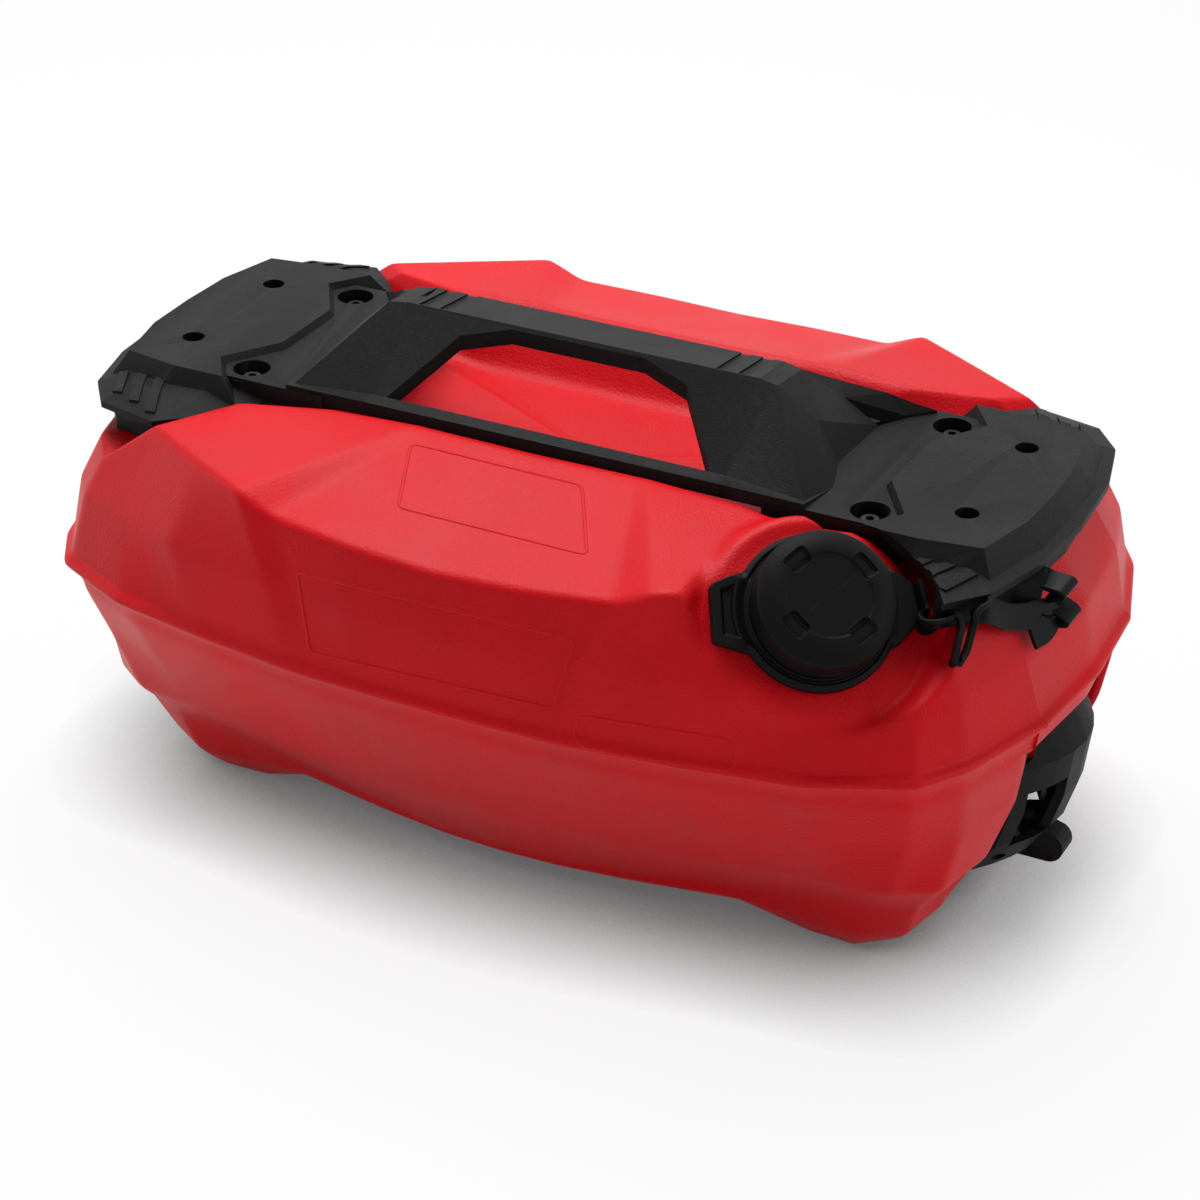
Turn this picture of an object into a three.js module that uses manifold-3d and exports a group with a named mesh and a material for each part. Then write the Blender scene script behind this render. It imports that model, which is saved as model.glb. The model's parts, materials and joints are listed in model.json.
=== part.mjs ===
// Stackable fuel can: a blow-moulded tank with a bolted carrying deck, a tethered screw cap on a
// tilted neck, and a swing latch at each end that holds the can to what it is stacked on.
// Lengths are millimetres. +X runs along the can, +Y away from the cap side, +Z up.
// The origin is on the ground, under the middle of the can.

import * as THREE from 'three';
import { mergeVertices } from 'three/addons/utils/BufferGeometryUtils.js';
import Module from 'manifold-3d';

const wasm = await Module();
wasm.setup();

// Fits that several pieces share
const gap = 0.3;
const overrun = 1;
const slack = 0.5;
const leastMitreShare = 0.7;
const roundSegments = 32;
const smallSegments = 16;

// Tank: the driving sizes, then how far each outline ring stands in from its end and its side
const tankHalfLength = 234;
const tankHalfWidth = 154;
const tankWall = 3;
const seamHeight = 119;
const lipDrop = 5.5;
const lipInset = 3;
const lipRise = 5;
const lipCrown = 1.2;
const shelfHeight = 170.5;
const upperWallEndInset = 8;
const upperWallSideInset = 5;
const upperWallHeight = 153;
const crestEndInset = 22;
const crestSideInset = 11;
const crestHeight = 188;
const lobeEndInset = 34;
const frontLobeHalfWidth = 57;
const frontLobeHeight = 193.5;
const rearLobeHalfWidth = 80;
const rearLobeHeight = 190;
const channelEndInset = 84;
const frontChannelHalfWidth = 50;
const rearChannelHalfWidth = 58;
const channelHeight = 165;
const bellyEndInset = 8;
const bellySideInset = 23;
const bellyHeight = 80;
const lowerWallEndInset = 22;
const lowerWallSideInset = 39;
const lowerWallHeight = 50;
const creaseEndInset = 38;
const creaseSideInset = 60;
const creaseHeight = 34;
const footWaistEndInset = 43;
const footWaistSideInset = 61.5;
const footWaistHeight = 16;
const baseEndInset = 48;
const baseSideInset = 64;
const baseHeight = 14;
const footInnerEndInset = 69;
const footInnerSideInset = 102;
const undersideHeight = 17;

// Latch recess in each end of the tank
const recessHalfWidth = 46;
const recessDepth = 46;
const recessDepthX = tankHalfLength - recessDepth;
const recessTop = 106;

// Neck, cap and tether
const neckEndInset = 87;
const neckSideInset = 26;
const neckSeatHeight = 172.5;
const neckAxisShares = [0.467, -0.513, 0.72];
const bossRadius = 44;
const bossChamfer = 2.5;
const bossDepth = 34;
const scoopRadius = 47;
const scoopSpread = 14;
const scoopHeight = 24;
const neckRadius = 22;
const neckBore = 18;
const neckHeight = 17.5;
const threadHeight = 1.6;
const threadDepth = 0.6;
const threadPitch = 5;
const threadTurns = 1.7;
const threadTipShare = 0.1;
const capRadius = 28;
const capHeight = 28;
const capFoot = 9.5;
const capWall = 2.4;
const capTop = 3.2;
const capDiscRadius = 17;
const capDish = 1;
const capTravel = 7.5;
const capChamfer = 3;
const gripPocketDepth = 2;
const gripPocketLength = 8;
const gripPocketWidth = 6.5;
const gripPocketCount = 4;
const coreWall = 2;
const gasketThickness = 2;
const tetherRingFoot = 2.5;
const tetherRingHeight = 5.5;
const tetherRingRadius = 32;
const tetherRingInner = 23.2;
const capThreadDepth = 0.5;
const tabReach = 44;
const tabPadDepth = 1.5;
const tabPadInset = 3;
const lugReach = 40.7;
const studRadius = 1.8;
const studHead = 3.6;
const studHeadHeight = 1.6;
const studLength = 7;
const eyeRise = 2;
const strapWidth = 11;
const strapThickness = 2.2;
const strapStepsPerPoint = 3;
const strapFromEye = [
  [7, -8.6, -7.7], [13.5, -19.6, -7.7], [22.5, -24.6, -8.7], [30.5, -22.6, -10.7], [32.5, -16.6, -11.7],
  [32.5, -10.6, -11.7],
];
const strapFromRivet = [
  [6.4, -47, -10.5], [10.4, -42, -9.5], [6.4, -37, -8.5], [3.4, -31, -7.5], [7.4, -26, -6.5],
  [11.4, -21, -4.5], [7.4, -15, -1.5], [1.9, -9, 0], [1, 5, 0],
];

// Deck: plan outline, levels and the arched handle. The neck stands in from the line midway
// between the deck's side and the tank's.
const deckEndInset = 13;
const deckHalfLength = tankHalfLength - deckEndInset;
const deckHalfWidth = 94;
const neckY = neckSideInset - (tankHalfWidth + deckHalfWidth) / 2;
const neckCentre = [tankHalfLength - neckEndInset, neckY, neckSeatHeight];
const deckTop = 197;
const plateShelf = 194;
const rimTop = 190;
const rimEdge = 185.5;
const rimBottom = 182.5;
const rimSlope = 14;
const skirtInset = 6;
const deckWall = 4;
const plateDraft = 8;
const railFront = 54;
const railInner = 46.5;
const railTop = 196;
const handleWall = 5;
const handleFlankDrop = 6;
const handleTop = 227;
const handleRidgeY = -15;
const handleRearY = 10.5;
const handleRearDrop = 3;
const handleLip = 8;
const handleEndShare = 0.38;
const openingFrontShare = 0.347;
const openingMidShare = 0.244;
const openingRearShare = 0.1425;
const openingMidY = -22;
const openingRearY = -16.5;
const pocketFloor = 188.5;
const plateHoleRadius = 5;
const plateHoleShare = 0.8326;
const plateHoleY = 33;
const plateHoleDepth = 16;
const barWidth = 5;
const barHeight = 1;
const barNear = 65;
const barLeanShare = 0.45;
const handleTickShares = [0.344, 0.298];
const handleTickWidth = 5;
const handleTickDepth = 0.8;
const rivetInset = 7.4;
const rivetY = -33;
const rivetHeight = 176.5;
const rivetPlace = [deckHalfLength - rivetInset, rivetY, rivetHeight];

// Screws and the inserts that they turn into
const screwShare = 0.664;
const screwX = screwShare * deckHalfLength;
const screwY = 43.6;
const screwHeadRadius = 5.25;
const screwHeadHeight = 3.3;
const screwRadius = 3;
const screwLength = 26;
const headCrownShare = 0.7;
const screwSocketRadius = 2;
const screwSocketDepth = 2;
const socketSides = 6;
const counterboreRadius = 8.25;
const counterboreDepth = 7;
const insertRadius = 5;
const insertLength = 12;
const insertRibs = 3;
const insertBossRadius = 10;

// Latch at each end: bracket in the recess, swinging lever, and the bail that catches the rack
const bracketThickness = 4;
const bracketHalfWidth = 40;
const bracketBottom = 30;
const bracketTop = 100;
const earInner = 8;
const earThickness = 5;
const earRadius = 5;
const earRootDrop = 22;
const latchPinInset = 18.5;
const latchPinX = tankHalfLength - latchPinInset;
const latchPinZ = 92;
const latchPinRadius = 2.5;
const latchPinHalfLength = 17;
const leverHalfWidth = 38;
const leverWall = 4;
const leverBulge = 16;
const leverBottom = 34;
const leverFootInset = 20.5;
const leverChinHeight = 48;
const leverChinInset = 11;
const leverWaistHeight = 64;
const leverWaistInset = 6;
const leverPeakHeight = 87;
const leverPeakInset = 3;
const leverTop = 101;
const leverCrownInset = 10;
const leverLugThickness = 4;
const leverFootX = tankHalfLength - leverFootInset;
const leverChinX = tankHalfLength - leverChinInset;
const leverWaistX = tankHalfLength - leverWaistInset;
const leverPeakX = tankHalfLength - leverPeakInset;
const leverCrownX = tankHalfLength - leverCrownInset;
const windowInner = 12;
const windowOuter = 32;
const windowBottom = 46;
const windowTop = 74;
const bailHalfWidth = 6;
const bailPinInset = 28;
const bailPinX = tankHalfLength - bailPinInset;
const bailPinZ = 39;
const bailPinRadius = 2;
const bailPinHalfLength = 10;
const bailEyeRadius = 5;
const bailDrop = 8;
const bailReach = 20;
const bailTipRadius = 7;
const bailLoopRadius = 3;
const bailSlotTop = 48;
const bailBackShare = 1.1;
const loopSteps = 4;
const arcSteps = 8;
const springWire = 1.4;
const springTurns = 4;
const springStepsPerTurn = 8;
const wireSegments = 5;
const mountScrewRadius = 2.5;
const mountScrewHead = 5;
const mountScrewHeadHeight = 2.6;
const mountScrewLength = 12;
const mountScrewY = 20;
const mountScrewZ = 60;

// Outline rings. Each point is a share of the ring's half length, half width and height,
// given for one quarter from the middle of the long side to the middle of the end.
const seamShares = [
  [0, 1, 1], [0.128, 0.999, 1], [0.244, 0.994, 1], [0.291, 0.987, 1], [0.491, 0.945, 1],
  [0.697, 0.886, 1], [0.863, 0.766, 1], [0.921, 0.623, 1], [0.981, 0.344, 1], [1, 0, 1],
];
const upperWallShares = [
  [0, 1, 0.98], [0.168, 0.993, 0.987], [0.288, 0.963, 1], [0.345, 0.973, 1], [0.584, 0.913, 1],
  [0.739, 0.799, 0.987], [0.863, 0.718, 0.974], [0.92, 0.611, 0.974], [0.973, 0.356, 0.974],
  [1, 0, 0.974],
];
const crestShares = [
  [0, 1, 0.941], [0.189, 0.99, 0.949], [0.373, 0.958, 0.96], [0.453, 0.955, 1], [0.59, 0.839, 0.997],
  [0.759, 0.692, 0.995], [0.887, 0.699, 0.883], [0.934, 0.608, 0.904], [0.981, 0.35, 0.907],
  [1, 0, 0.907],
];
const frontLobeShares = [
  [0, 1, 0.997], [0.14, 1, 0.999], [0.245, 1, 1], [0.27, 1, 1], [0.48, 1.018, 0.992],
  [0.69, 1.158, 0.977], [0.84, 1.404, 0.889], [0.94, 1.263, 0.881], [0.98, 0.789, 0.881], [1, 0, 0.881],
];
const rearLobeShares = [
  [0, 1, 1], [0.19, 1, 1], [0.3, 1.012, 1], [0.37, 1.025, 1], [0.56, 0.975, 1],
  [0.74, 1.1, 0.992], [0.86, 1.1, 0.905], [0.94, 0.9, 0.897], [0.98, 0.562, 0.897], [1, 0, 0.897],
];
const channelShares = [
  [0, 1, 1], [0.187, 1, 1], [0.327, 1, 1], [0.36, 1, 1], [0.6, 1, 1],
  [0.787, 1.04, 1.012], [0.933, 1.08, 1.033], [0.987, 0.9, 1.033], [1, 0.5, 1.033], [1, 0, 1.033],
];
const bellyShares = [
  [0, 1, 1], [0.133, 0.996, 1], [0.248, 0.989, 1], [0.319, 0.977, 1], [0.504, 0.927, 1],
  [0.695, 0.87, 1], [0.85, 0.771, 1], [0.92, 0.626, 1], [0.973, 0.351, 1], [1, 0, 1],
];
const lowerWallShares = [
  [0, 1, 1], [0.142, 0.991, 1], [0.264, 0.974, 1], [0.34, 0.957, 1], [0.528, 0.904, 1],
  [0.708, 0.861, 1], [0.858, 0.826, 1], [0.948, 0.713, 1], [0.986, 0.391, 1], [1, 0, 1],
];
const creaseShares = [
  [0, 1, 0.588], [0.148, 0.989, 0.588], [0.286, 0.947, 0.603], [0.367, 0.92, 0.618],
  [0.541, 0.862, 0.676], [0.714, 0.872, 0.882], [0.867, 0.883, 1], [0.964, 0.819, 1.029],
  [0.99, 0.468, 1], [1, 0, 1],
];
const footWaistShares = [
  [0, 1, 1], [0.149, 0.989, 1], [0.293, 0.951, 1.031], [0.377, 0.924, 1.062], [0.56, 0.859, 1.094],
  [0.723, 0.816, 0.75], [0.864, 0.832, 0.75], [0.948, 0.735, 0.812], [0.984, 0.454, 1.188],
  [1, 0, 1.188],
];
const baseShares = [
  [0, 1, 1], [0.151, 0.983, 1], [0.301, 0.95, 1], [0.387, 0.922, 1], [0.581, 0.85, 1], [0.731, 0.728, 0],
  [0.844, 0.733, 0], [0.898, 0.611, 0], [0.978, 0.422, 1], [1, 0, 1],
];
const footInnerShares = [
  [0, 1, 1], [0.145, 1, 1], [0.291, 1, 1], [0.376, 0.981, 1], [0.63, 0.962, 1],
  [0.842, 0.865, 0], [0.915, 0.808, 0], [0.97, 0.654, 0], [0.994, 0.423, 1], [1, 0, 1],
];

// Deck outlines as shares of the deck's half length and half width, for the half at +Y
const rimShares = [[1, 0], [0.987, 0.426], [0.95, 0.755], [0.891, 0.926], [0.751, 1], [0.679, 0.851],
  [0.602, 0.596], [0.507, 0.596]];
const raisedShares = [[0.946, 0], [0.942, 0.3], [0.91, 0.617], [0.791, 0.66], [0.679, 0.66],
  [0.733, 0.479], [0.66, 0.213]];
const screwShelfShares = [[0.77, 0], [0.77, 0.585], [0.47, 0.585]];
// One flank of the handle as a folded sheet. Each corner has a letter, and its place is a share of
// the deck's half length, of its half width, and of the handle's rise above the screw shelf. Each
// fold joins three corners, and the pocket lies between three.
const flankShares = {
  a: [0.376, -0.574, 0.061], b: [0.376, -0.495, 0.076], c: [0.376, -0.16, 1],
  d: [0.376, 0.112, 0.909], e: [0.418, -0.17, 0.97], f: [0.418, 0.085, 0.894],
  g: [0.545, -0.535, 0.039], h: [0.566, -0.333, 0], i: [0.492, -0.119, 0.542],
  j: [0.534, -0.106, 0], k: [0.538, 0.316, 0], l: [0.481, 0.229, 0.418], m: [0.571, 0.448, 0.03],
  n: [0.466, 0.298, 0.545], o: [0.535, 0.422, 0.333], p: [0.579, 0.5, 0.152],
  q: [0.615, 0.564, 0.03], r: [0.554, -0.58, 0.061],
};
const flankFolds = [
  'arg', 'agb', 'rhg', 'bge', 'bec', 'cef', 'cfd', 'ghi', 'gie', 'eif', 'hji', 'jki', 'ikl', 'ilf',
  'fln', 'lmo', 'lon', 'mpo', 'mqp',
];
const pocketCorners = 'kml';
// The raised bars on each corner of the rim: each one's place as a share of the deck's half
// length and its reach as a share of the deck's half width
const barShares = [[0.903, 0.17], [0.86, 0.21], [0.817, 0.26]];
// Tether ring's tab and lug, as shares of their reach, across and up from the neck's middle
const tabShares = [[-0.45, 0.5], [-0.92, 0.37], [-0.99, -0.155], [-0.66, -0.3], [-0.3, -0.4],
  [-0.1, 0.2]];
const lugShares = [[0.3, -0.45], [0.7, -0.35], [1, -0.15], [1, 0.15], [0.76, 0.35], [0.3, 0.45]];

// Places across the lever where its section is drawn, as shares of its half width
const leverStationShares = [-1, -0.8, -0.55, -0.3, 0, 0.3, 0.55, 0.8, 1];

// Materials
const redPlastic = new THREE.MeshStandardMaterial({ color: 0xb51222, roughness: 0.5, metalness: 0 });
const blackPlastic = new THREE.MeshStandardMaterial({ color: 0x2b2b2c, roughness: 0.6, metalness: 0 });
const blackRubber = new THREE.MeshStandardMaterial({ color: 0x1c1c1d, roughness: 0.75, metalness: 0 });
const blackSteel = new THREE.MeshStandardMaterial({ color: 0x2e2f31, roughness: 0.4, metalness: 0.9 });
const springSteel = new THREE.MeshStandardMaterial({ color: 0xa8abae, roughness: 0.3, metalness: 1 });
const brass = new THREE.MeshStandardMaterial({ color: 0xb08d45, roughness: 0.35, metalness: 1 });

// Turns a closed three.js geometry into a solid that can be joined and cut
function toSolid(geometry) {
  const plain = geometry.clone();
  plain.deleteAttribute('normal');
  plain.deleteAttribute('uv');
  const merged = mergeVertices(plain);
  const vertProperties = Float32Array.from(merged.attributes.position.array);
  const triVerts = Uint32Array.from(wholeTriangles(merged.index.array));
  if (enclosedVolume(vertProperties, triVerts) < 0) {
    for (let k = 0; k < triVerts.length; k += 3) {
      [triVerts[k + 1], triVerts[k + 2]] = [triVerts[k + 2], triVerts[k + 1]];
    }
  }
  return new wasm.Manifold(new wasm.Mesh({ numProp: 3, vertProperties, triVerts }));
}

// Leaves out the triangles that have two corners at one point
function wholeTriangles(index) {
  const kept = [];
  for (let k = 0; k < index.length; k += 3) {
    const [a, b, c] = [index[k], index[k + 1], index[k + 2]];
    if (a !== b && b !== c && c !== a) {
      kept.push(a, b, c);
    }
  }
  return kept;
}

// The volume inside a closed mesh, negative where its faces point in
function enclosedVolume(vertProperties, triVerts) {
  const corner = (k) => new THREE.Vector3().fromArray(vertProperties, 3 * triVerts[k]);
  let total = 0;
  for (let k = 0; k < triVerts.length; k += 3) {
    total += corner(k).dot(corner(k + 1).cross(corner(k + 2))) / 6;
  }
  return total;
}

// Turns a solid back into a three.js geometry
function toGeometry(solid) {
  const { vertProperties, triVerts } = solid.getMesh();
  const geometry = new THREE.BufferGeometry();
  geometry.setAttribute('position', new THREE.BufferAttribute(Float32Array.from(vertProperties), 3));
  geometry.setIndex(Array.from(triVerts));
  return geometry;
}

// Joins every solid of a list
function join(solids) {
  return solids.reduce((whole, piece) => whole.add(piece));
}

// Cuts every solid of a list from the first
function cut(solid, tools) {
  return tools.reduce((left, tool) => left.subtract(tool), solid);
}

// A straight prism on a plan outline
function prism(points, bottom, top) {
  const shape = new THREE.Shape(points.map(([x, y]) => new THREE.Vector2(x, y)));
  const geometry = new THREE.ExtrudeGeometry(shape, { depth: top - bottom, bevelEnabled: false });
  return toSolid(geometry.translate(0, 0, bottom));
}

// A solid through sections of equal point count; place() puts a section's point in space
function loft(sections, place) {
  const count = sections[0].length;
  const positions = sections.flatMap((section, level) =>
    section.flatMap((point) => place(point, level)));
  const index = [];
  for (let level = 0; level < sections.length - 1; level += 1) {
    for (let k = 0; k < count; k += 1) {
      const a = level * count + k;
      const b = level * count + ((k + 1) % count);
      index.push(a, b, b + count, a, b + count, a + count);
    }
  }
  const outline = sections[0].map(([u, v]) => new THREE.Vector2(u, v));
  const last = (sections.length - 1) * count;
  const clockwise = THREE.ShapeUtils.isClockWise(outline);
  for (const [a, second, third] of THREE.ShapeUtils.triangulateShape(outline, [])) {
    const [b, c] = clockwise ? [third, second] : [second, third];
    index.push(a, c, b);
    index.push(last + a, last + b, last + c);
  }
  const geometry = new THREE.BufferGeometry();
  geometry.setAttribute('position', new THREE.Float32BufferAttribute(positions, 3));
  geometry.setIndex(index);
  return toSolid(geometry);
}

// A turned solid from a profile of [radius, height] that starts and ends on the axis or closes
function turned(profile, segments = roundSegments) {
  const points = profile.map(([radius, height]) => new THREE.Vector2(radius, height));
  return toSolid(new THREE.LatheGeometry(points, segments).rotateX(Math.PI / 2));
}

// A cylinder that stands on the XY plane between two heights
function post(radius, bottom, top, segments = roundSegments) {
  return turned([[0, bottom], [radius, bottom], [radius, top], [0, top]], segments);
}

// A tube between two heights
function tube(inner, outer, bottom, top, segments = roundSegments) {
  const wall = [[inner, bottom], [outer, bottom], [outer, top], [inner, top], [inner, bottom]];
  return turned(wall, segments);
}

// A box between two corners
function block([x0, y0, z0], [x1, y1, z1]) {
  const geometry = new THREE.BoxGeometry(x1 - x0, y1 - y0, z1 - z0);
  return toSolid(geometry.translate((x0 + x1) / 2, (y0 + y1) / 2, (z0 + z1) / 2));
}

// A solid through plan outlines of equal point count, one at each height
function risen(outlines, heights) {
  return loft(outlines, ([x, y], level) => [x, y, heights[level]]);
}

// A plate on a YZ outline between two places along X
function crossPlate(points, near, far) {
  const places = [near, far];
  return loft([points, points], ([y, z], level) => [places[level], y, z]);
}

// A sheet folded along the edges of its triangles and thickened straight down
function foldedSheet(corners, folds, drop) {
  const count = corners.length;
  const lower = corners.map(([x, y, z]) => [x, y, z - drop]);
  const edges = folds.flatMap(([a, b, c]) => [[a, b], [b, c], [c, a]]);
  const inside = new Set(edges.map(([a, b]) => `${b} ${a}`));
  const rim = edges.filter(([a, b]) => !inside.has(`${a} ${b}`));
  const top = folds.flat();
  const bottom = folds.flatMap(([a, b, c]) => [a + count, c + count, b + count]);
  const walls = rim.flatMap(([a, b]) => [b, a, a + count, b, a + count, b + count]);
  const geometry = new THREE.BufferGeometry();
  geometry.setAttribute('position', new THREE.Float32BufferAttribute([...corners, ...lower].flat(), 3));
  geometry.setIndex([...top, ...bottom, ...walls]);
  return toSolid(geometry);
}

// Moves a solid by a three.js matrix
function placed(solid, matrix) {
  return toSolid(toGeometry(solid).applyMatrix4(matrix));
}

// Moves a solid along the three axes
function shifted(solid, x, y, z) {
  return placed(solid, new THREE.Matrix4().makeTranslation(x, y, z));
}

// A solid that stands along Z, laid along Y with its middle at a point
function laidAlongY(solid, x, y, z) {
  const turn = new THREE.Matrix4().makeRotationX(-Math.PI / 2);
  return placed(solid, new THREE.Matrix4().makeTranslation(x, y, z).multiply(turn));
}

// A solid that stands along Z, laid along X
function laidAlongX(solid, x, y, z) {
  const turn = new THREE.Matrix4().makeRotationY(Math.PI / 2);
  return placed(solid, new THREE.Matrix4().makeTranslation(x, y, z).multiply(turn));
}

// Moves each edge of a closed outline outward by a distance. Corners are mitred, sharp ones less.
function grown(points, distance) {
  const count = points.length;
  return points.map((point, k) => {
    const before = points[(k + count - 1) % count];
    const after = points[(k + 1) % count];
    const first = new THREE.Vector2(point[0] - before[0], point[1] - before[1]).normalize();
    const second = new THREE.Vector2(after[0] - point[0], after[1] - point[1]).normalize();
    const mitre = new THREE.Vector2(first.y + second.y, -first.x - second.x);
    const reach = distance / Math.max(mitre.lengthSq() / 2, leastMitreShare);
    return [point[0] + mitre.x * reach, point[1] + mitre.y * reach];
  });
}

// A closed wall profile of even thickness on the lower side of an open path
function wallProfile(path, thickness) {
  const inner = path.map((point, k) => {
    const before = path[Math.max(k - 1, 0)];
    const after = path[Math.min(k + 1, path.length - 1)];
    const first = new THREE.Vector2(point[0] - before[0], point[1] - before[1]);
    const second = new THREE.Vector2(after[0] - point[0], after[1] - point[1]);
    const a = (k === 0 ? second : first).clone().normalize();
    const b = (k === path.length - 1 ? first : second).clone().normalize();
    const mitre = new THREE.Vector2(a.y + b.y, -a.x - b.x);
    const reach = thickness / (mitre.lengthSq() / 2);
    return [point[0] + mitre.x * reach, point[1] + mitre.y * reach];
  });
  return [...inner, ...[...path].reverse()];
}

// Both halves of an outline that is given for +Y and mirrored about the X axis
function bothSides(halfPoints) {
  const other = halfPoints.filter(([, y]) => y > 0).map(([x, y]) => [x, -y]).reverse();
  return [...halfPoints, ...other];
}

// Places a share outline on the deck at the right-hand end
function deckOutline(shares) {
  return bothSides(shares.map(([x, y]) => [x * deckHalfLength, y * deckHalfWidth]));
}

// Copies a solid to the left-hand end by mirroring it about the YZ plane
function mirrored(solid) {
  const { vertProperties, triVerts } = solid.getMesh();
  const geometry = new THREE.BufferGeometry();
  const flipped = Float32Array.from(vertProperties, (value, k) => (k % 3 === 0 ? -value : value));
  const reversed = [];
  for (let k = 0; k < triVerts.length; k += 3) {
    reversed.push(triVerts[k], triVerts[k + 2], triVerts[k + 1]);
  }
  geometry.setAttribute('position', new THREE.BufferAttribute(flipped, 3));
  geometry.setIndex(reversed);
  return toSolid(geometry);
}

// Tank

// One quarter of a ring in millimetres, in from the tank's end
function quarter(shares, endInset, width, height) {
  const length = tankHalfLength - endInset;
  return shares.map(([x, y, z]) => [x * length, y * width, z * height]);
}

// A ring round the whole can from a quarter for the front and one for the rear
function tankRing(front, rear) {
  const rightRear = [...rear].reverse().slice(1);
  const leftRear = rear.slice(1).map(([x, y, z]) => [-x, y, z]);
  const leftFront = [...front].reverse().slice(1).map(([x, y, z]) => [-x, -y, z]);
  const rightFront = front.map(([x, y, z]) => [x, -y, z]);
  return [...rightFront, ...rightRear, ...leftRear, ...leftFront.slice(0, -1)];
}

// A ring whose front and rear quarters are alike
function evenRing(shares, endInset, sideInset, height) {
  const side = quarter(shares, endInset, tankHalfWidth - sideInset, height);
  return tankRing(side, side);
}

// The tank's rings from the foot's inner edge up to the channel under the handle
const tankRings = [
  evenRing(footInnerShares, footInnerEndInset, footInnerSideInset, baseHeight),
  evenRing(baseShares, baseEndInset, baseSideInset, baseHeight),
  evenRing(footWaistShares, footWaistEndInset, footWaistSideInset, footWaistHeight),
  evenRing(creaseShares, creaseEndInset, creaseSideInset, creaseHeight),
  evenRing(lowerWallShares, lowerWallEndInset, lowerWallSideInset, lowerWallHeight),
  evenRing(bellyShares, bellyEndInset, bellySideInset, bellyHeight),
  evenRing(seamShares, lipInset, lipInset, seamHeight - lipDrop),
  evenRing(seamShares, 0, 0, seamHeight),
  evenRing(seamShares, lipCrown, lipCrown, seamHeight + lipRise),
  evenRing(upperWallShares, upperWallEndInset, upperWallSideInset, upperWallHeight),
  evenRing(crestShares, crestEndInset, crestSideInset, crestHeight),
  tankRing(
    quarter(frontLobeShares, lobeEndInset, frontLobeHalfWidth, frontLobeHeight),
    quarter(rearLobeShares, lobeEndInset, rearLobeHalfWidth, rearLobeHeight),
  ),
  tankRing(
    quarter(channelShares, channelEndInset, frontChannelHalfWidth, channelHeight),
    quarter(channelShares, channelEndInset, rearChannelHalfWidth, channelHeight),
  ),
];

// The skin through the rings, closed by a point under the can and one in the channel
function ringSkin(rings, bottomPoint, topPoint) {
  const count = rings[0].length;
  const positions = [...rings.flat(2), ...bottomPoint, ...topPoint];
  const index = [];
  for (let level = 0; level < rings.length - 1; level += 1) {
    for (let k = 0; k < count; k += 1) {
      const a = level * count + k;
      const b = level * count + ((k + 1) % count);
      index.push(a, b, b + count, a, b + count, a + count);
    }
  }
  const last = (rings.length - 1) * count;
  const bottom = rings.length * count;
  for (let k = 0; k < count; k += 1) {
    index.push(bottom, (k + 1) % count, k);
    index.push(bottom + 1, last + k, last + ((k + 1) % count));
  }
  const geometry = new THREE.BufferGeometry();
  geometry.setAttribute('position', new THREE.Float32BufferAttribute(positions, 3));
  geometry.setIndex(index);
  return geometry;
}

// The same skin moved inward by the wall along its vertex normals
function innerSkin(skin, wall) {
  const inner = skin.clone();
  inner.computeVertexNormals();
  const position = inner.attributes.position;
  const normal = inner.attributes.normal;
  for (let k = 0; k < position.count; k += 1) {
    position.setXYZ(
      k,
      position.getX(k) - normal.getX(k) * wall,
      position.getY(k) - normal.getY(k) * wall,
      position.getZ(k) - normal.getZ(k) * wall,
    );
  }
  return inner;
}

// The neck's own frame: its Z runs out of the neck, its X level and along the deck's edge
const neckAxis = new THREE.Vector3(...neckAxisShares).normalize();
const neckAcross = new THREE.Vector3(0, 0, 1).cross(neckAxis).normalize();
const neckUp = neckAxis.clone().cross(neckAcross);
const neckFrame = new THREE.Matrix4()
  .makeBasis(neckAcross, neckUp, neckAxis)
  .setPosition(new THREE.Vector3(...neckCentre));

// One raised turn of thread as a ridge on a neck or in a cap, closed at both ends
function thread(radius, depth, start, turns) {
  const steps = Math.round(roundSegments * turns);
  const sections = [];
  for (let k = 0; k <= steps; k += 1) {
    sections.push([[-depth, 0], [depth, 0], [depth, threadHeight / 2], [-depth, threadHeight]]);
  }
  const place = ([out, up], level) => {
    const angle = (level / roundSegments) * 2 * Math.PI;
    const fade = Math.min(1, level / 2, (steps - level) / 2);
    const reach = radius + (out > 0 ? out * Math.max(fade, threadTipShare) : out);
    const height = start + up + (level / roundSegments) * threadPitch;
    return [reach * Math.cos(angle), reach * Math.sin(angle), height];
  };
  return loft(sections, place);
}

const screwPlaces = [[-screwX, -screwY], [-screwX, screwY], [screwX, -screwY], [screwX, screwY]];
const latchScrewPlaces = [[-1, -mountScrewY], [-1, mountScrewY], [1, -mountScrewY], [1, mountScrewY]];

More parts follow.
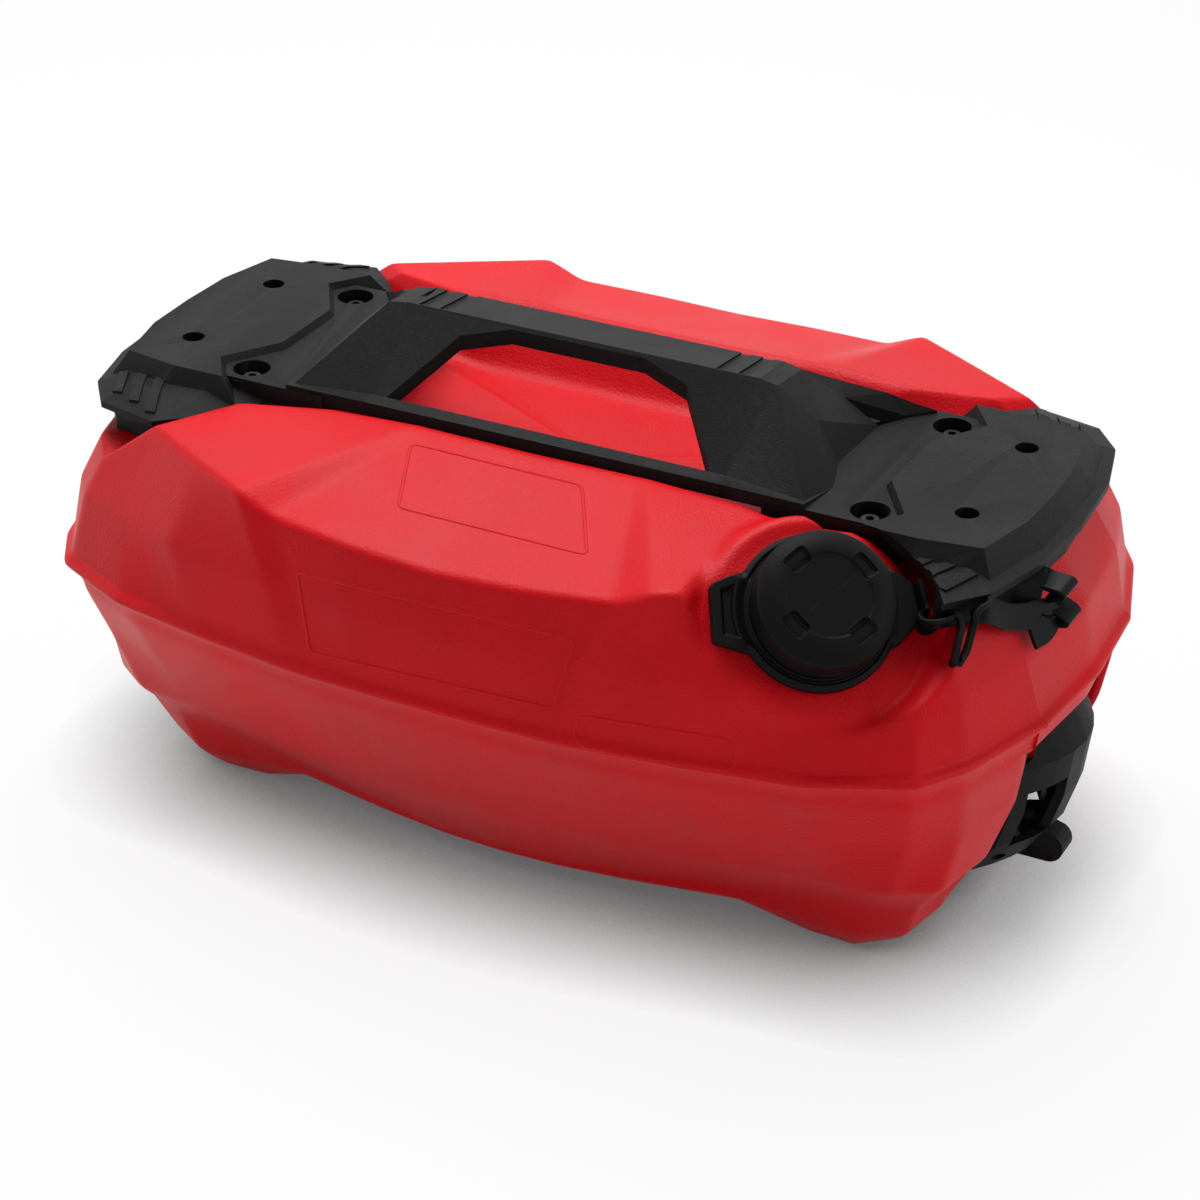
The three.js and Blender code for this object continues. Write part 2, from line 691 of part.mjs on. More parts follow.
// The tank's shell with its recesses, neck, insert bosses and latch pads
function makeTank() {
  const skin = ringSkin(tankRings, [0, 0, undersideHeight], [0, 0, channelHeight]);
  const recess = (grow) => [1, -1].map((side) => {
    const near = side * (recessDepthX - grow);
    const far = side * (tankHalfLength + overrun);
    return block(
      [Math.min(near, far), -recessHalfWidth - grow, -overrun],
      [Math.max(near, far), recessHalfWidth + grow, recessTop + grow],
    );
  });
  const boss = turned([
    [0, -bossDepth], [bossRadius, -bossDepth], [bossRadius, -bossChamfer], [bossRadius - bossChamfer, 0],
    [0, 0],
  ]);
  const scoopTop = scoopRadius + scoopSpread;
  const scoop = turned([[0, 0], [scoopRadius, 0], [scoopTop, scoopHeight], [0, scoopHeight]]);
  const threadStart = neckHeight - threadPitch * threadTurns - threadHeight;
  const outer = join([
    cut(toSolid(skin), [...recess(0), placed(scoop, neckFrame)]),
    placed(boss, neckFrame),
    placed(post(neckRadius, -overrun, neckHeight), neckFrame),
    placed(thread(neckRadius, threadDepth, threadStart, threadTurns), neckFrame),
  ]);
  const bossHollow = post(bossRadius - tankWall, tankWall - bossDepth, -tankWall);
  const scoopBack = post(scoopTop, -tankWall, scoopHeight);
  const insertFoot = shelfHeight - insertLength;
  const insertSurround = post(insertBossRadius, insertFoot - tankWall, deckTop, smallSegments);
  const insertSurrounds = screwPlaces.map(([x, y]) => shifted(insertSurround, x, y, 0));
  const hollows = join([
    cut(toSolid(innerSkin(skin, tankWall)), [...recess(tankWall), placed(scoopBack, neckFrame)]),
    placed(bossHollow, neckFrame),
  ]);
  const cavity = cut(hollows, insertSurrounds);
  const bore = placed(post(neckBore, -bossDepth, neckHeight + overrun), neckFrame);
  const shell = cut(outer, [cavity, bore]);
  const insertBoss = post(insertBossRadius, insertFoot - tankWall, shelfHeight, smallSegments);
  const insertBosses = screwPlaces.map(([x, y]) => shifted(insertBoss, x, y, 0));
  const insertPocket = post(insertRadius + gap, insertFoot - gap, plateShelf, smallSegments);
  const headBay = post(screwHeadRadius + slack, shelfHeight, deckTop, smallSegments);
  const insertPockets = screwPlaces.map(([x, y]) => shifted(join([insertPocket, headBay]), x, y, 0));
  const padPost = post(mountScrewHead + overrun, 0, mountScrewLength, smallSegments);
  const latchPads = latchScrewPlaces.map(([side, y]) => {
    const pad = laidAlongX(padPost, recessDepthX - mountScrewLength, y, mountScrewZ);
    return side > 0 ? pad : mirrored(pad);
  });
  const holeDepth = mountScrewLength - bracketThickness + gap;
  const holePost = post(mountScrewRadius + gap, -holeDepth, overrun, smallSegments);
  const latchHoles = latchScrewPlaces.map(([side, y]) => {
    const hole = laidAlongX(holePost, recessDepthX, y, mountScrewZ);
    return side > 0 ? hole : mirrored(hole);
  });
  return cut(join([shell, ...insertBosses, ...latchPads]), [...insertPockets, ...latchHoles]);
}

// Deck

// Height of the strap's lug in the neck's frame
const lugLevel = tetherRingFoot + tetherRingHeight / 2;

// The middle of the handle with the front rail below it
function makeHandle() {
  const rearTop = handleTop - handleRearDrop;
  const path = [
    [-railFront, rimTop], [-railFront, railTop], [-railInner, railTop + slack], [handleRidgeY, handleTop],
    [handleRearY, rearTop], [handleRearY + slack, rearTop - handleLip],
  ];
  const end = handleEndShare * deckHalfLength;
  return crossPlate(wallProfile(path, handleWall), -end, end);
}

// Place of the two holes in each raised plate
const plateHoleX = plateHoleShare * deckHalfLength;

// The flank's corners at the right-hand end, and where each letter's corner is in the list
const flankCorners = Object.values(flankShares).map(([x, y, rise]) => [
  x * deckHalfLength, y * deckHalfWidth, plateShelf + rise * (handleTop - plateShelf),
]);
const flankLetters = Object.keys(flankShares);
const atLetter = (letter) => flankLetters.indexOf(letter);

// A shallow slot across the handle's top, from the ridge to the rear edge
function handleTick(x) {
  const floor = handleTop - handleTickDepth;
  const outline = [
    [handleRidgeY + slack, floor], [handleRearY + overrun, floor - handleRearDrop],
    [handleRearY + overrun, handleTop], [handleRidgeY + slack, handleTop],
  ];
  return crossPlate(outline, x - handleTickWidth / 2, x + handleTickWidth / 2);
}

// The slanted bars on both corners of the rim, standing over its slope
function makeBars(flange) {
  const outlines = barShares.map(([placeShare, reachShare]) => {
    const x = placeShare * deckHalfLength;
    const reach = reachShare * deckHalfWidth;
    const shift = reach * barLeanShare;
    return [
      [x - barWidth / 2, barNear], [x + barWidth / 2, barNear],
      [x + barWidth / 2 - shift, barNear + reach], [x - barWidth / 2 - shift, barNear + reach],
    ];
  });
  const rear = outlines.map((outline) => prism(outline, rimBottom, deckTop));
  const front = outlines.map((outline) => prism(outline.map(([x, y]) => [x, -y]), rimBottom, deckTop));
  return shifted(flange, 0, 0, barHeight).intersect(join([...rear, ...front]));
}

// One end of the deck at +X: sloped rim, raised plate, screw shelf, flank and the skirt on the tank
function makeDeckEnd() {
  const rim = deckOutline(rimShares);
  const raised = deckOutline(raisedShares);
  const skirtFoot = shelfHeight + gap;
  const roof = rimTop - deckWall;
  const flange = risen([rim, rim, grown(rim, -rimSlope)], [rimBottom, rimEdge, rimTop]);
  const body = join([
    flange,
    makeBars(flange),
    prism(grown(rim, -skirtInset), skirtFoot, rimBottom),
    prism(deckOutline(screwShelfShares), rimBottom, plateShelf),
    risen([grown(raised, plateDraft), raised], [rimEdge, deckTop]),
  ]);
  const hollow = join([
    prism(grown(rim, -skirtInset - deckWall), skirtFoot - overrun, roof),
    prism(grown(raised, -deckWall), roof - overrun, deckTop - deckWall),
  ]);
  const screwBoss = post(counterboreRadius + deckWall, skirtFoot, plateShelf - overrun);
  const holeFoot = deckTop - plateHoleDepth - deckWall;
  const holeBoss = post(plateHoleRadius + deckWall, holeFoot, deckTop - overrun);
  const bosses = [-1, 1].flatMap((side) => [
    shifted(screwBoss, screwX, side * screwY, 0),
    shifted(holeBoss, plateHoleX, side * plateHoleY, 0),
  ]);
  const folds = flankFolds.map((fold) => [...fold].map(atLetter));
  const flank = foldedSheet(flankCorners, folds, handleFlankDrop);
  const pocketOutline = [...pocketCorners].map((letter) => flankCorners[atLetter(letter)].slice(0, 2));
  const pocket = prism(pocketOutline, pocketFloor, plateShelf + overrun);
  return cut(join([cut(body, [hollow]), ...bosses, flank]), [pocket]);
}

// The whole deck, cut clear of the tank, the cap and its screws
function makeDeck() {
  const end = makeDeckEnd();
  const openingHalf = [
    [openingFrontShare, -railInner], [openingMidShare, openingMidY], [openingRearShare, openingRearY],
  ].map(([x, y]) => [x * deckHalfLength, y]);
  const openingOther = openingHalf.map(([x, y]) => [-x, y]).reverse();
  const opening = prism([...openingHalf, ...openingOther], rimBottom, handleTop + overrun);
  const tickPlaces = handleTickShares.map((share) => share * deckHalfLength);
  const ticks = tickPlaces.flatMap((x) => [handleTick(-x), handleTick(x)]);
  const counterbore = post(counterboreRadius, plateShelf - counterboreDepth, deckTop + overrun);
  const screwHole = post(screwRadius + slack, shelfHeight - overrun, plateShelf, smallSegments);
  const screwHoles = screwPlaces.flatMap(([x, y]) =>
    [counterbore, screwHole].map((hole) => shifted(hole, x, y, 0)));
  const plateHole = post(plateHoleRadius, deckTop - plateHoleDepth, deckTop + overrun);
  const plateHoles = [-1, 1].flatMap((side) =>
    [-plateHoleY, plateHoleY].map((y) => shifted(plateHole, side * plateHoleX, y, 0)));
  const studHalf = studHead + overrun;
  const studEnd = lugReach + strapThickness + studHeadHeight + 2 * overrun;
  const studBay = block(
    [lugReach, -studHalf, lugLevel - studHalf],
    [studEnd, studHalf, lugLevel + studHalf + capTravel],
  );
  const bossBay = post(bossRadius + overrun, -bossDepth - overrun, capHeight);
  const capBay = placed(join([bossBay, studBay]), neckFrame);
  const tankSkin = ringSkin(tankRings, [0, 0, undersideHeight], [0, 0, channelHeight]);
  const tankClearance = [toSolid(innerSkin(tankSkin, -slack)), shifted(toSolid(tankSkin), 0, 0, slack)];
  const rivetPost = post(studRadius + gap, -skirtInset - deckWall, skirtInset, smallSegments);
  const rivetHole = laidAlongX(rivetPost, ...rivetPlace);
  const whole = join([end, mirrored(end), makeHandle()]);
  const holes = [...screwHoles, ...plateHoles, rivetHole];
  return cut(whole, [opening, ...ticks, ...holes, capBay, ...tankClearance]);
}

// Screws and inserts, standing on their seats

// A deck screw with its domed head and socket
function makeDeckScrew() {
  const seat = plateShelf - counterboreDepth + gap;
  const head = turned([
    [0, seat], [screwHeadRadius, seat], [screwHeadRadius, seat + screwHeadHeight / 2],
    [screwHeadRadius * headCrownShare, seat + screwHeadHeight], [0, seat + screwHeadHeight],
  ]);
  const socket = post(screwSocketRadius, seat + screwHeadHeight - screwSocketDepth, deckTop, socketSides);
  const shank = post(screwRadius, seat - screwLength, seat + overrun, smallSegments);
  return cut(join([head, shank]), [socket]);
}

// A ribbed insert that its screw turns into
function makeInsert() {
  const bottom = shelfHeight - insertLength;
  const pitch = insertLength / insertRibs;
  const rings = Array.from({ length: insertRibs }, (_, k) => {
    const middle = bottom + pitch * k + pitch / 2;
    const half = pitch / insertRibs;
    return tube(screwRadius + gap, insertRadius, middle - half, middle + half, smallSegments);
  });
  const sleeve = tube(screwRadius + gap, insertRadius - slack, bottom, shelfHeight, smallSegments);
  return join([sleeve, ...rings]);
}

// Cap and tether, in the neck's own frame

// The cap's outer shell with its dished disc and grip pockets
function makeCapShell() {
  const disc = capHeight - capDish;
  const shell = turned([
    [0, disc], [capDiscRadius, disc], [capDiscRadius + capDish, capHeight],
    [capRadius - capChamfer, capHeight], [capRadius, capHeight - capChamfer], [capRadius, capFoot],
    [capRadius - capWall, capFoot], [capRadius - capWall, capHeight - capTop], [0, capHeight - capTop],
  ]);
  const pocketAt = (capDiscRadius + capDish + capRadius - capChamfer) / 2;
  const pocket = block(
    [pocketAt - gripPocketWidth / 2, -gripPocketLength / 2, capHeight - gripPocketDepth],
    [pocketAt + gripPocketWidth / 2, gripPocketLength / 2, capHeight + overrun]);
  const pockets = Array.from({ length: gripPocketCount }, (_, k) =>
    placed(pocket, new THREE.Matrix4().makeRotationZ(((2 * k + 1) * Math.PI) / gripPocketCount)));
  return placed(cut(shell, pockets), neckFrame);
}

// The threaded cup inside the cap
function makeCapCore() {
  const outer = capRadius - capWall - gap;
  const inner = outer - coreWall;
  const foot = tetherRingFoot + tetherRingHeight + gap;
  const roof = neckHeight + gasketThickness + 2 * gap;
  const top = capHeight - capTop - gap;
  const cup = turned([[0, roof], [inner, roof], [inner, foot], [outer, foot], [outer, top], [0, top]]);
  const ridge = thread(inner, -capThreadDepth, foot + threadPitch / 2, 1);
  return placed(join([cup, ridge]), neckFrame);
}

// The gasket between the neck's mouth and the cap
function makeGasket() {
  const bottom = neckHeight + gap;
  return placed(tube(neckBore, neckRadius, bottom, bottom + gasketThickness), neckFrame);
}

// The ring under the cap with its pull tab and the strap's lug
function makeTetherRing() {
  const top = tetherRingFoot + tetherRingHeight;
  const tabOutline = tabShares.map(([x, y]) => [x * tabReach, y * tabReach]);
  const tab = prism(tabOutline, tetherRingFoot, top);
  const lug = prism(lugShares.map(([x, y]) => [x * lugReach, y * lugReach]), tetherRingFoot, top);
  const pad = prism(grown(tabOutline, -tabPadInset), top - tabPadDepth, top + overrun);
  const bore = post(tetherRingInner, 0, capHeight);
  const padKeep = post(tetherRingRadius + tabPadInset, 0, capHeight);
  const studPost = post(studRadius + gap, -studLength - gap, overrun, smallSegments);
  const stud = laidAlongX(studPost, lugReach, 0, lugLevel);
  const ring = join([post(tetherRingRadius, tetherRingFoot, top), tab, lug]);
  return placed(cut(ring, [bore, pad.subtract(padKeep), stud]), neckFrame);
}

// The folded strap as a flat ribbon on edge, with a hole at each end for its stud. Its route is
// given in steps from the eye at the ring and from the rivet at the deck.
function makeStrap() {
  const lugFace = lugReach + gap + strapThickness / 2;
  const eye = [1, 0, -1].map((side) =>
    new THREE.Vector3(lugFace, (side * strapWidth) / 2, lugLevel + eyeRise).applyMatrix4(neckFrame));
  const rivet = new THREE.Vector3(...rivetPlace);
  const bends = [
    ...strapFromEye.map((step) => new THREE.Vector3(...step).add(eye[1])),
    ...strapFromRivet.map((step) => new THREE.Vector3(...step).add(rivet)),
  ];
  const route = new THREE.CatmullRomCurve3([...eye, ...bends], false, 'centripetal');
  const steps = bends.length * strapStepsPerPoint;
  const sections = Array.from({ length: steps + 1 }, () => [
    [-strapThickness / 2, -strapWidth / 2], [strapThickness / 2, -strapWidth / 2],
    [strapThickness / 2, strapWidth / 2], [-strapThickness / 2, strapWidth / 2],
  ]);
  const place = ([side, up], level) => {
    const at = route.getPoint(level / steps);
    const along = route.getTangent(level / steps);
    const across = new THREE.Vector3(-along.y, along.x, 0).normalize();
    const raise = across.clone().cross(along).normalize();
    raise.multiplyScalar(raise.z < 0 ? -1 : 1);
    return at.addScaledVector(across, side).addScaledVector(raise, up).toArray();
  };
  const eyePost = post(studRadius + gap, -overrun, strapThickness + overrun, smallSegments);
  const eyeHole = laidAlongX(eyePost, lugReach, 0, lugLevel);
  const rivetPost = post(studRadius + gap, -skirtInset, skirtInset, smallSegments);
  const holes = [placed(eyeHole, neckFrame), laidAlongX(rivetPost, ...rivetPlace)];
  return cut(loft(sections, place), holes);
}

// A mushroom stud along X with its head just outside the strap
function makeStud(x, y, z, length) {
  const head = strapThickness + 3 * gap;
  const top = head + studHeadHeight;
  const profile = [[0, head], [studHead, head], [studHead * headCrownShare, top], [0, top]];
  const shank = post(studRadius, -length, head + overrun / 2, smallSegments);
  return laidAlongX(join([shank, turned(profile, smallSegments)]), x, y, z);
}

// Latch at the right-hand end; the left one is its mirror image

// A plate on an XZ outline between two places along Y
function sidePlate(points, near, far) {
  const shape = new THREE.Shape(points.map(([x, z]) => new THREE.Vector2(x, z)));
  const geometry = new THREE.ExtrudeGeometry(shape, { depth: far - near, bevelEnabled: false });
  return toSolid(geometry.translate(0, 0, -far).rotateX(Math.PI / 2));
}

// Points of an arc in the XZ plane
function arc(x, z, radius, from, to, steps = arcSteps) {
  return Array.from({ length: steps + 1 }, (_, k) => {
    const angle = from + ((to - from) * k) / steps;
    return [x + radius * Math.cos(angle), z + radius * Math.sin(angle)];
  });
}

// The bracket on the recess wall with the two ears that hold the latch pin
function makeBracket() {
  const back = recessDepthX + gap;
  const face = back + bracketThickness;
  const plate = block([back, -bracketHalfWidth, bracketBottom], [face, bracketHalfWidth, bracketTop]);
  const ears = [-1, 1].map((side) => {
    const places = [side * earInner, side * (earInner + earThickness)].sort((a, b) => a - b);
    return sidePlate([
      [face - overrun, bracketTop], [face - overrun, latchPinZ - earRootDrop],
      ...arc(latchPinX, latchPinZ, earRadius, -Math.PI / 2, Math.PI / 2),
    ], ...places);
  });
  const pinPost = post(latchPinRadius + gap, -bracketHalfWidth, bracketHalfWidth, smallSegments);
  const pinHole = laidAlongY(pinPost, latchPinX, 0, latchPinZ);
  const screwPost = post(mountScrewRadius + gap, -overrun, bracketThickness + overrun, smallSegments);
  const screwHoles = [-mountScrewY, mountScrewY].map((y) =>
    laidAlongX(screwPost, back, y, mountScrewZ));
  return cut(join([plate, ...ears]), [pinHole, ...screwHoles]);
}

// Height and reach of the lever's outer face down its middle
const leverFace = [
  [leverBottom, leverFootX], [leverChinHeight, leverChinX], [leverWaistHeight, leverWaistX],
  [leverPeakHeight, leverPeakX], [leverTop, leverCrownX],
];

// The swinging lever: bowed face with two windows, pin lugs and the bail's lugs
function makeLever() {
  const stations = leverStationShares.map((share) => share * leverHalfWidth);
  const sections = stations.map((y) => {
    const bow = leverBulge * (y / leverHalfWidth) ** 2;
    return wallProfile(leverFace.map(([z, x]) => [z, x - bow]), leverWall);
  });
  const shell = loft(sections, ([z, x], level) => [x, stations[level], z]);
  const windowBack = leverFootX - leverBulge - leverWall;
  const windows = [-1, 1].map((side) => {
    const places = [side * windowInner, side * windowOuter].sort((a, b) => a - b);
    return block([windowBack, places[0], windowBottom], [leverPeakX, places[1], windowTop]);
  });
  const slot = block(
    [recessDepthX, -bailHalfWidth - slack, leverBottom - overrun],
    [leverPeakX, bailHalfWidth + slack, bailSlotTop]);
  const lugInner = earInner + earThickness + slack;
  const pinLugs = [-1, 1].map((side) => {
    const places = [side * lugInner, side * (lugInner + leverLugThickness)].sort((a, b) => a - b);
    return sidePlate([
      [leverCrownX - leverWall, latchPinZ + earRadius],
      ...arc(latchPinX, latchPinZ, earRadius, Math.PI / 2, 3 * Math.PI / 2),
      [leverPeakX - leverWall - overrun, latchPinZ - earRadius],
    ], ...places);
  });
  const bailLugs = [-1, 1].map((side) => {
    const near = bailHalfWidth + slack;
    const places = [side * near, side * (near + leverLugThickness)].sort((a, b) => a - b);
    return sidePlate([
      ...arc(bailPinX, bailPinZ, bailEyeRadius, Math.PI / 2, 3 * Math.PI / 2),
      [leverFootX - overrun, leverBottom + overrun], [leverChinX - leverWall, bailSlotTop],
    ], ...places);
  });
  const pinPost = post(latchPinRadius + gap, -leverHalfWidth, leverHalfWidth, smallSegments);
  const pinHole = laidAlongY(pinPost, latchPinX, 0, latchPinZ);
  const bailPost = post(bailPinRadius + gap, -leverHalfWidth, leverHalfWidth, smallSegments);
  const bailHole = laidAlongY(bailPost, bailPinX, 0, bailPinZ);
  return cut(join([cut(shell, windows), ...pinLugs, ...bailLugs]), [slot, pinHole, bailHole]);
}

// The bail: a plate with an eye on its pin and a loop that catches the rack
function makeBail() {
  const eyeZ = bailPinZ - bailDrop;
  const tipX = bailPinX + bailReach - bailTipRadius;
  const backTurn = Math.PI * bailBackShare;
  const outline = [
    ...arc(bailPinX, bailPinZ, bailEyeRadius, Math.PI / 4, backTurn),
    ...arc(bailPinX, eyeZ, bailEyeRadius, backTurn, 3 * Math.PI / 2),
    ...arc(tipX, eyeZ + bailTipRadius - bailEyeRadius, bailTipRadius, -Math.PI / 2, Math.PI / 3),
  ];
  const loopZ = eyeZ - bailLoopRadius / 2;
  const loopHole = sidePlate([
    ...arc(bailPinX + bailEyeRadius / 2, loopZ, bailLoopRadius, Math.PI / 2, 3 * Math.PI / 2, loopSteps),
    ...arc(tipX, loopZ, bailLoopRadius, -Math.PI / 2, Math.PI / 2, loopSteps),
  ], -bailHalfWidth - overrun, bailHalfWidth + overrun);
  const half = bailHalfWidth + overrun;
  const pinPost = post(bailPinRadius + gap, -half, half, smallSegments);
  const pinHole = laidAlongY(pinPost, bailPinX, 0, bailPinZ);
  return cut(sidePlate(outline, -bailHalfWidth, bailHalfWidth), [loopHole, pinHole]);
}

// The pin that the lever swings on
function makeLatchPin() {
  const pin = post(latchPinRadius, -latchPinHalfLength, latchPinHalfLength, smallSegments);
  return laidAlongY(pin, latchPinX, 0, latchPinZ);
}

// The pin that the bail swings on
function makeBailPin() {
  const pin = post(bailPinRadius, -bailPinHalfLength, bailPinHalfLength, smallSegments);
  return laidAlongY(pin, bailPinX, 0, bailPinZ);
}

// The least distance between points of a wire's rings that are at least half a turn apart
function leastGap(rings, halfTurn) {
  const points = rings.map((ring) => ring.map((point) => new THREE.Vector3(...point)));
  let least = Infinity;
  points.forEach((ring, k) => {
    for (const other of points.slice(k + halfTurn).flat()) {
      least = Math.min(least, ...ring.map((point) => point.distanceTo(other)));
    }
  });
  return least;
}

// The coil on the latch pin, one unbroken wire
function makeSpring() {
  const radius = latchPinRadius + slack + springWire / 2;
  const length = 2 * (earInner - slack) - springWire;
  const steps = springTurns * springStepsPerTurn;
  const ring = Array.from({ length: wireSegments }, (_, k) => {
    const angle = (k * 2 * Math.PI) / wireSegments;
    return [(springWire / 2) * Math.cos(angle), (springWire / 2) * Math.sin(angle)];
  });
  const place = ([out, along], level) => {
    const angle = (level / springStepsPerTurn) * 2 * Math.PI;
    const reach = radius + out;
    const y = -length / 2 + (length * level) / steps + along;
    return [latchPinX + reach * Math.cos(angle), y, latchPinZ + reach * Math.sin(angle)];
  };
  const rings = Array.from({ length: steps + 1 }, () => ring);
  const wire = rings.map((section, level) => section.map((point) => place(point, level)));
  console.log(`least gap in a latch spring: ${leastGap(wire, springStepsPerTurn / 2).toFixed(2)} mm`);
  return loft(rings, place);
}

// A screw that holds the bracket to the tank, at a place along Y
function makeMountScrew(y) {
  const seat = recessDepthX + bracketThickness + 2 * gap;
  const head = turned([
    [0, 0], [mountScrewHead, 0], [mountScrewHead, mountScrewHeadHeight / 2],
    [mountScrewHead * headCrownShare, mountScrewHeadHeight], [0, mountScrewHeadHeight],
  ], smallSegments);
  const socketFoot = mountScrewHeadHeight - screwSocketDepth;
  const socket = post(screwSocketRadius, socketFoot, mountScrewHeadHeight + overrun, socketSides);
  const shank = post(mountScrewRadius, -mountScrewLength, overrun / 2, smallSegments);
  return laidAlongX(cut(join([head, shank]), [socket]), seat, y, mountScrewZ);
}

// The whole can

const can = new THREE.Group();

// Puts a named piece into the can
function add(name, solid, material) {
  const mesh = new THREE.Mesh(toGeometry(solid), material);
  mesh.name = name;
  can.add(mesh);
}

add('tank', makeTank(), redPlastic);
add('deck', makeDeck(), blackPlastic);

const deckScrew = makeDeckScrew();
const deckInsert = makeInsert();
for (const [x, y] of screwPlaces) {
  const corner = `${x < 0 ? 'left' : 'right'}_${y < 0 ? 'front' : 'rear'}`;
  add(`${corner}_screw`, shifted(deckScrew, x, y, 0), blackSteel);
  add(`${corner}_insert`, shifted(deckInsert, x, y, 0), brass);
}

add('cap_shell', makeCapShell(), blackPlastic);
add('cap_core', makeCapCore(), blackPlastic);
add('cap_gasket', makeGasket(), blackRubber);
add('tether_ring', makeTetherRing(), blackRubber);
add('tether_strap', makeStrap(), blackRubber);
add('tether_stud', placed(makeStud(lugReach, 0, lugLevel, studLength), neckFrame), blackRubber);
add('tether_rivet', makeStud(...rivetPlace, studLength), blackRubber);

const latchPieces = [
  ['latch_bracket', makeBracket(), blackPlastic],
  ['latch_lever', makeLever(), blackPlastic],
  ['latch_pin', makeLatchPin(), blackSteel],
  ['latch_spring', makeSpring(), springSteel],
  ['latch_bail', makeBail(), blackPlastic],
  ['bail_pin', makeBailPin(), blackSteel],
  ['bracket_front_screw', makeMountScrew(-mountScrewY), blackSteel],
  ['bracket_rear_screw', makeMountScrew(mountScrewY), blackSteel],
];
for (const [name, solid, material] of latchPieces) {
  add(`right_${name}`, solid, material);
  add(`left_${name}`, mirrored(solid), material);
}

export default can;
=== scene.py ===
# %% [markdown]
# # A stackable fuel can
#
# The real can is a red blow-moulded tank. A black deck with a carrying handle is screwed to its
# top, a screw cap with a rubber tether closes a tilted neck at one corner, and a latch hangs at
# each end. The imported solids give every place and every joint, and this lesson dresses them: the
# tank gets its soft skin, the hard pieces get rounded edges, the strap gets its folds, and each
# material gets its grain and its wear.
#
# Shapes are worked out in millimetres, and MM turns them into metres where they become meshes. The
# bumps of the materials, the floor and the lamps are in metres.

import json
import math

import bmesh
import bpy
import numpy as np
from mathutils import Matrix, Vector
from mathutils.bvhtree import BVHTree

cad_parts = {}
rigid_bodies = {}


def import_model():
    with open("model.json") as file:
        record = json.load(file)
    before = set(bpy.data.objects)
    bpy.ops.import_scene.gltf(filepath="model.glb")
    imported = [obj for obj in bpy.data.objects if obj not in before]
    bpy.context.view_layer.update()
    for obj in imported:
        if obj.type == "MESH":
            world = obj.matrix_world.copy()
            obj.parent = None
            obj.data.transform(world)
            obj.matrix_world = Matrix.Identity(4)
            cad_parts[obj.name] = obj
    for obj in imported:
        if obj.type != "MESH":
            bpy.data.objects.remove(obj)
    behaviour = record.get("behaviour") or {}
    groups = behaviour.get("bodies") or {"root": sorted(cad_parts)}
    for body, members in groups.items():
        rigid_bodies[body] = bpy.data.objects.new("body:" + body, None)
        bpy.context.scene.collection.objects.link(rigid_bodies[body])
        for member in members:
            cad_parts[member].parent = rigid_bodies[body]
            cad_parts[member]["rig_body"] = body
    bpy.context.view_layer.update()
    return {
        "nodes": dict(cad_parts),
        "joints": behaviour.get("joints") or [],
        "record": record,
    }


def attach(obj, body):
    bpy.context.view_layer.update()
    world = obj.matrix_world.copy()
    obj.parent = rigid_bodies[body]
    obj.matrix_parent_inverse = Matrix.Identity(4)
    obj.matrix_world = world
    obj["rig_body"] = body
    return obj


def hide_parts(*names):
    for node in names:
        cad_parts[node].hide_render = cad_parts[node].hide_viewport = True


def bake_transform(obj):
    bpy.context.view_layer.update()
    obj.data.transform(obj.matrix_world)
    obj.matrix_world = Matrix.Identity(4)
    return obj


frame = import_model()
nodes = frame["nodes"]
slot_of = {row["node"]: row["material_slot"] for row in frame["record"]["subparts"]}
MM = 0.001

# %% [markdown]
# ## A surface from a grid of points
#
# A moulded skin has hardly a flat face or a sharp corner. It could be modelled from boxes with a
# subdivision modifier, but then its places would hang on how the boxes were cut. Every new skin
# here is a grid instead: row i, column j holds the point P(i, j), worked out from two parameters,
# and neighbouring points make the quads. The last column joins the first one again, and the first
# and last rows may be closed by a fan of triangles round their mean point.

# %% Faces of a grid
MERGE_DISTANCE = 2e-6


def grid_faces(rows, columns):
    """Quads of neighbours, P(i, j), P(i, j + 1), P(i + 1, j + 1), P(i + 1, j), as point numbers."""
    i = np.arange(rows - 1)[:, None]
    j = np.arange(columns)[None, :]
    following = (j + 1) % columns
    first = i * columns + j
    second = i * columns + following
    return np.stack([first, second, second + columns, first + columns], -1).reshape(-1, 4)


def closing_fan(row, columns, middle, flip):
    """Triangles from each pair of neighbours in one row to the middle point that closes it."""
    ring = row * columns + np.arange(columns)
    pair = (ring, np.roll(ring, -1))
    if flip:
        pair = pair[::-1]
    return np.stack([pair[0], pair[1], np.full(columns, middle)], -1)


def link_object(name, data):
    """An object that shows a mesh, a light or a camera in the scene."""
    made = bpy.data.objects.new(name, data)
    bpy.context.scene.collection.objects.link(made)
    return made


print("merging points closer than", MERGE_DISTANCE / MM, "mm")

# %% [markdown]
# Blender can be handed its points one at a time, but whole arrays are far quicker: foreach_set
# copies an array straight into the mesh. Doubled points are merged next, as at a pole, and then the
# faces are turned outwards, because the order in which a grid runs may have turned it inside out.

# %% A mesh from arrays


def fill_mesh(mesh, vertices, quads, triangles):
    """Puts points, quads and triangles into an empty mesh as whole arrays."""
    loops = np.concatenate([quads.ravel(), triangles.ravel()]).astype(np.int32)
    sizes = np.concatenate([np.full(len(quads), 4), np.full(len(triangles), 3)])
    starts = np.concatenate([[0], np.cumsum(sizes)[:-1]]).astype(np.int32)
    mesh.vertices.add(len(vertices))
    mesh.vertices.foreach_set("co", vertices.astype(np.float32).ravel())
    mesh.loops.add(len(loops))
    mesh.loops.foreach_set("vertex_index", loops)
    mesh.polygons.add(len(sizes))
    mesh.polygons.foreach_set("loop_start", starts)
    mesh.update(calc_edges=True)


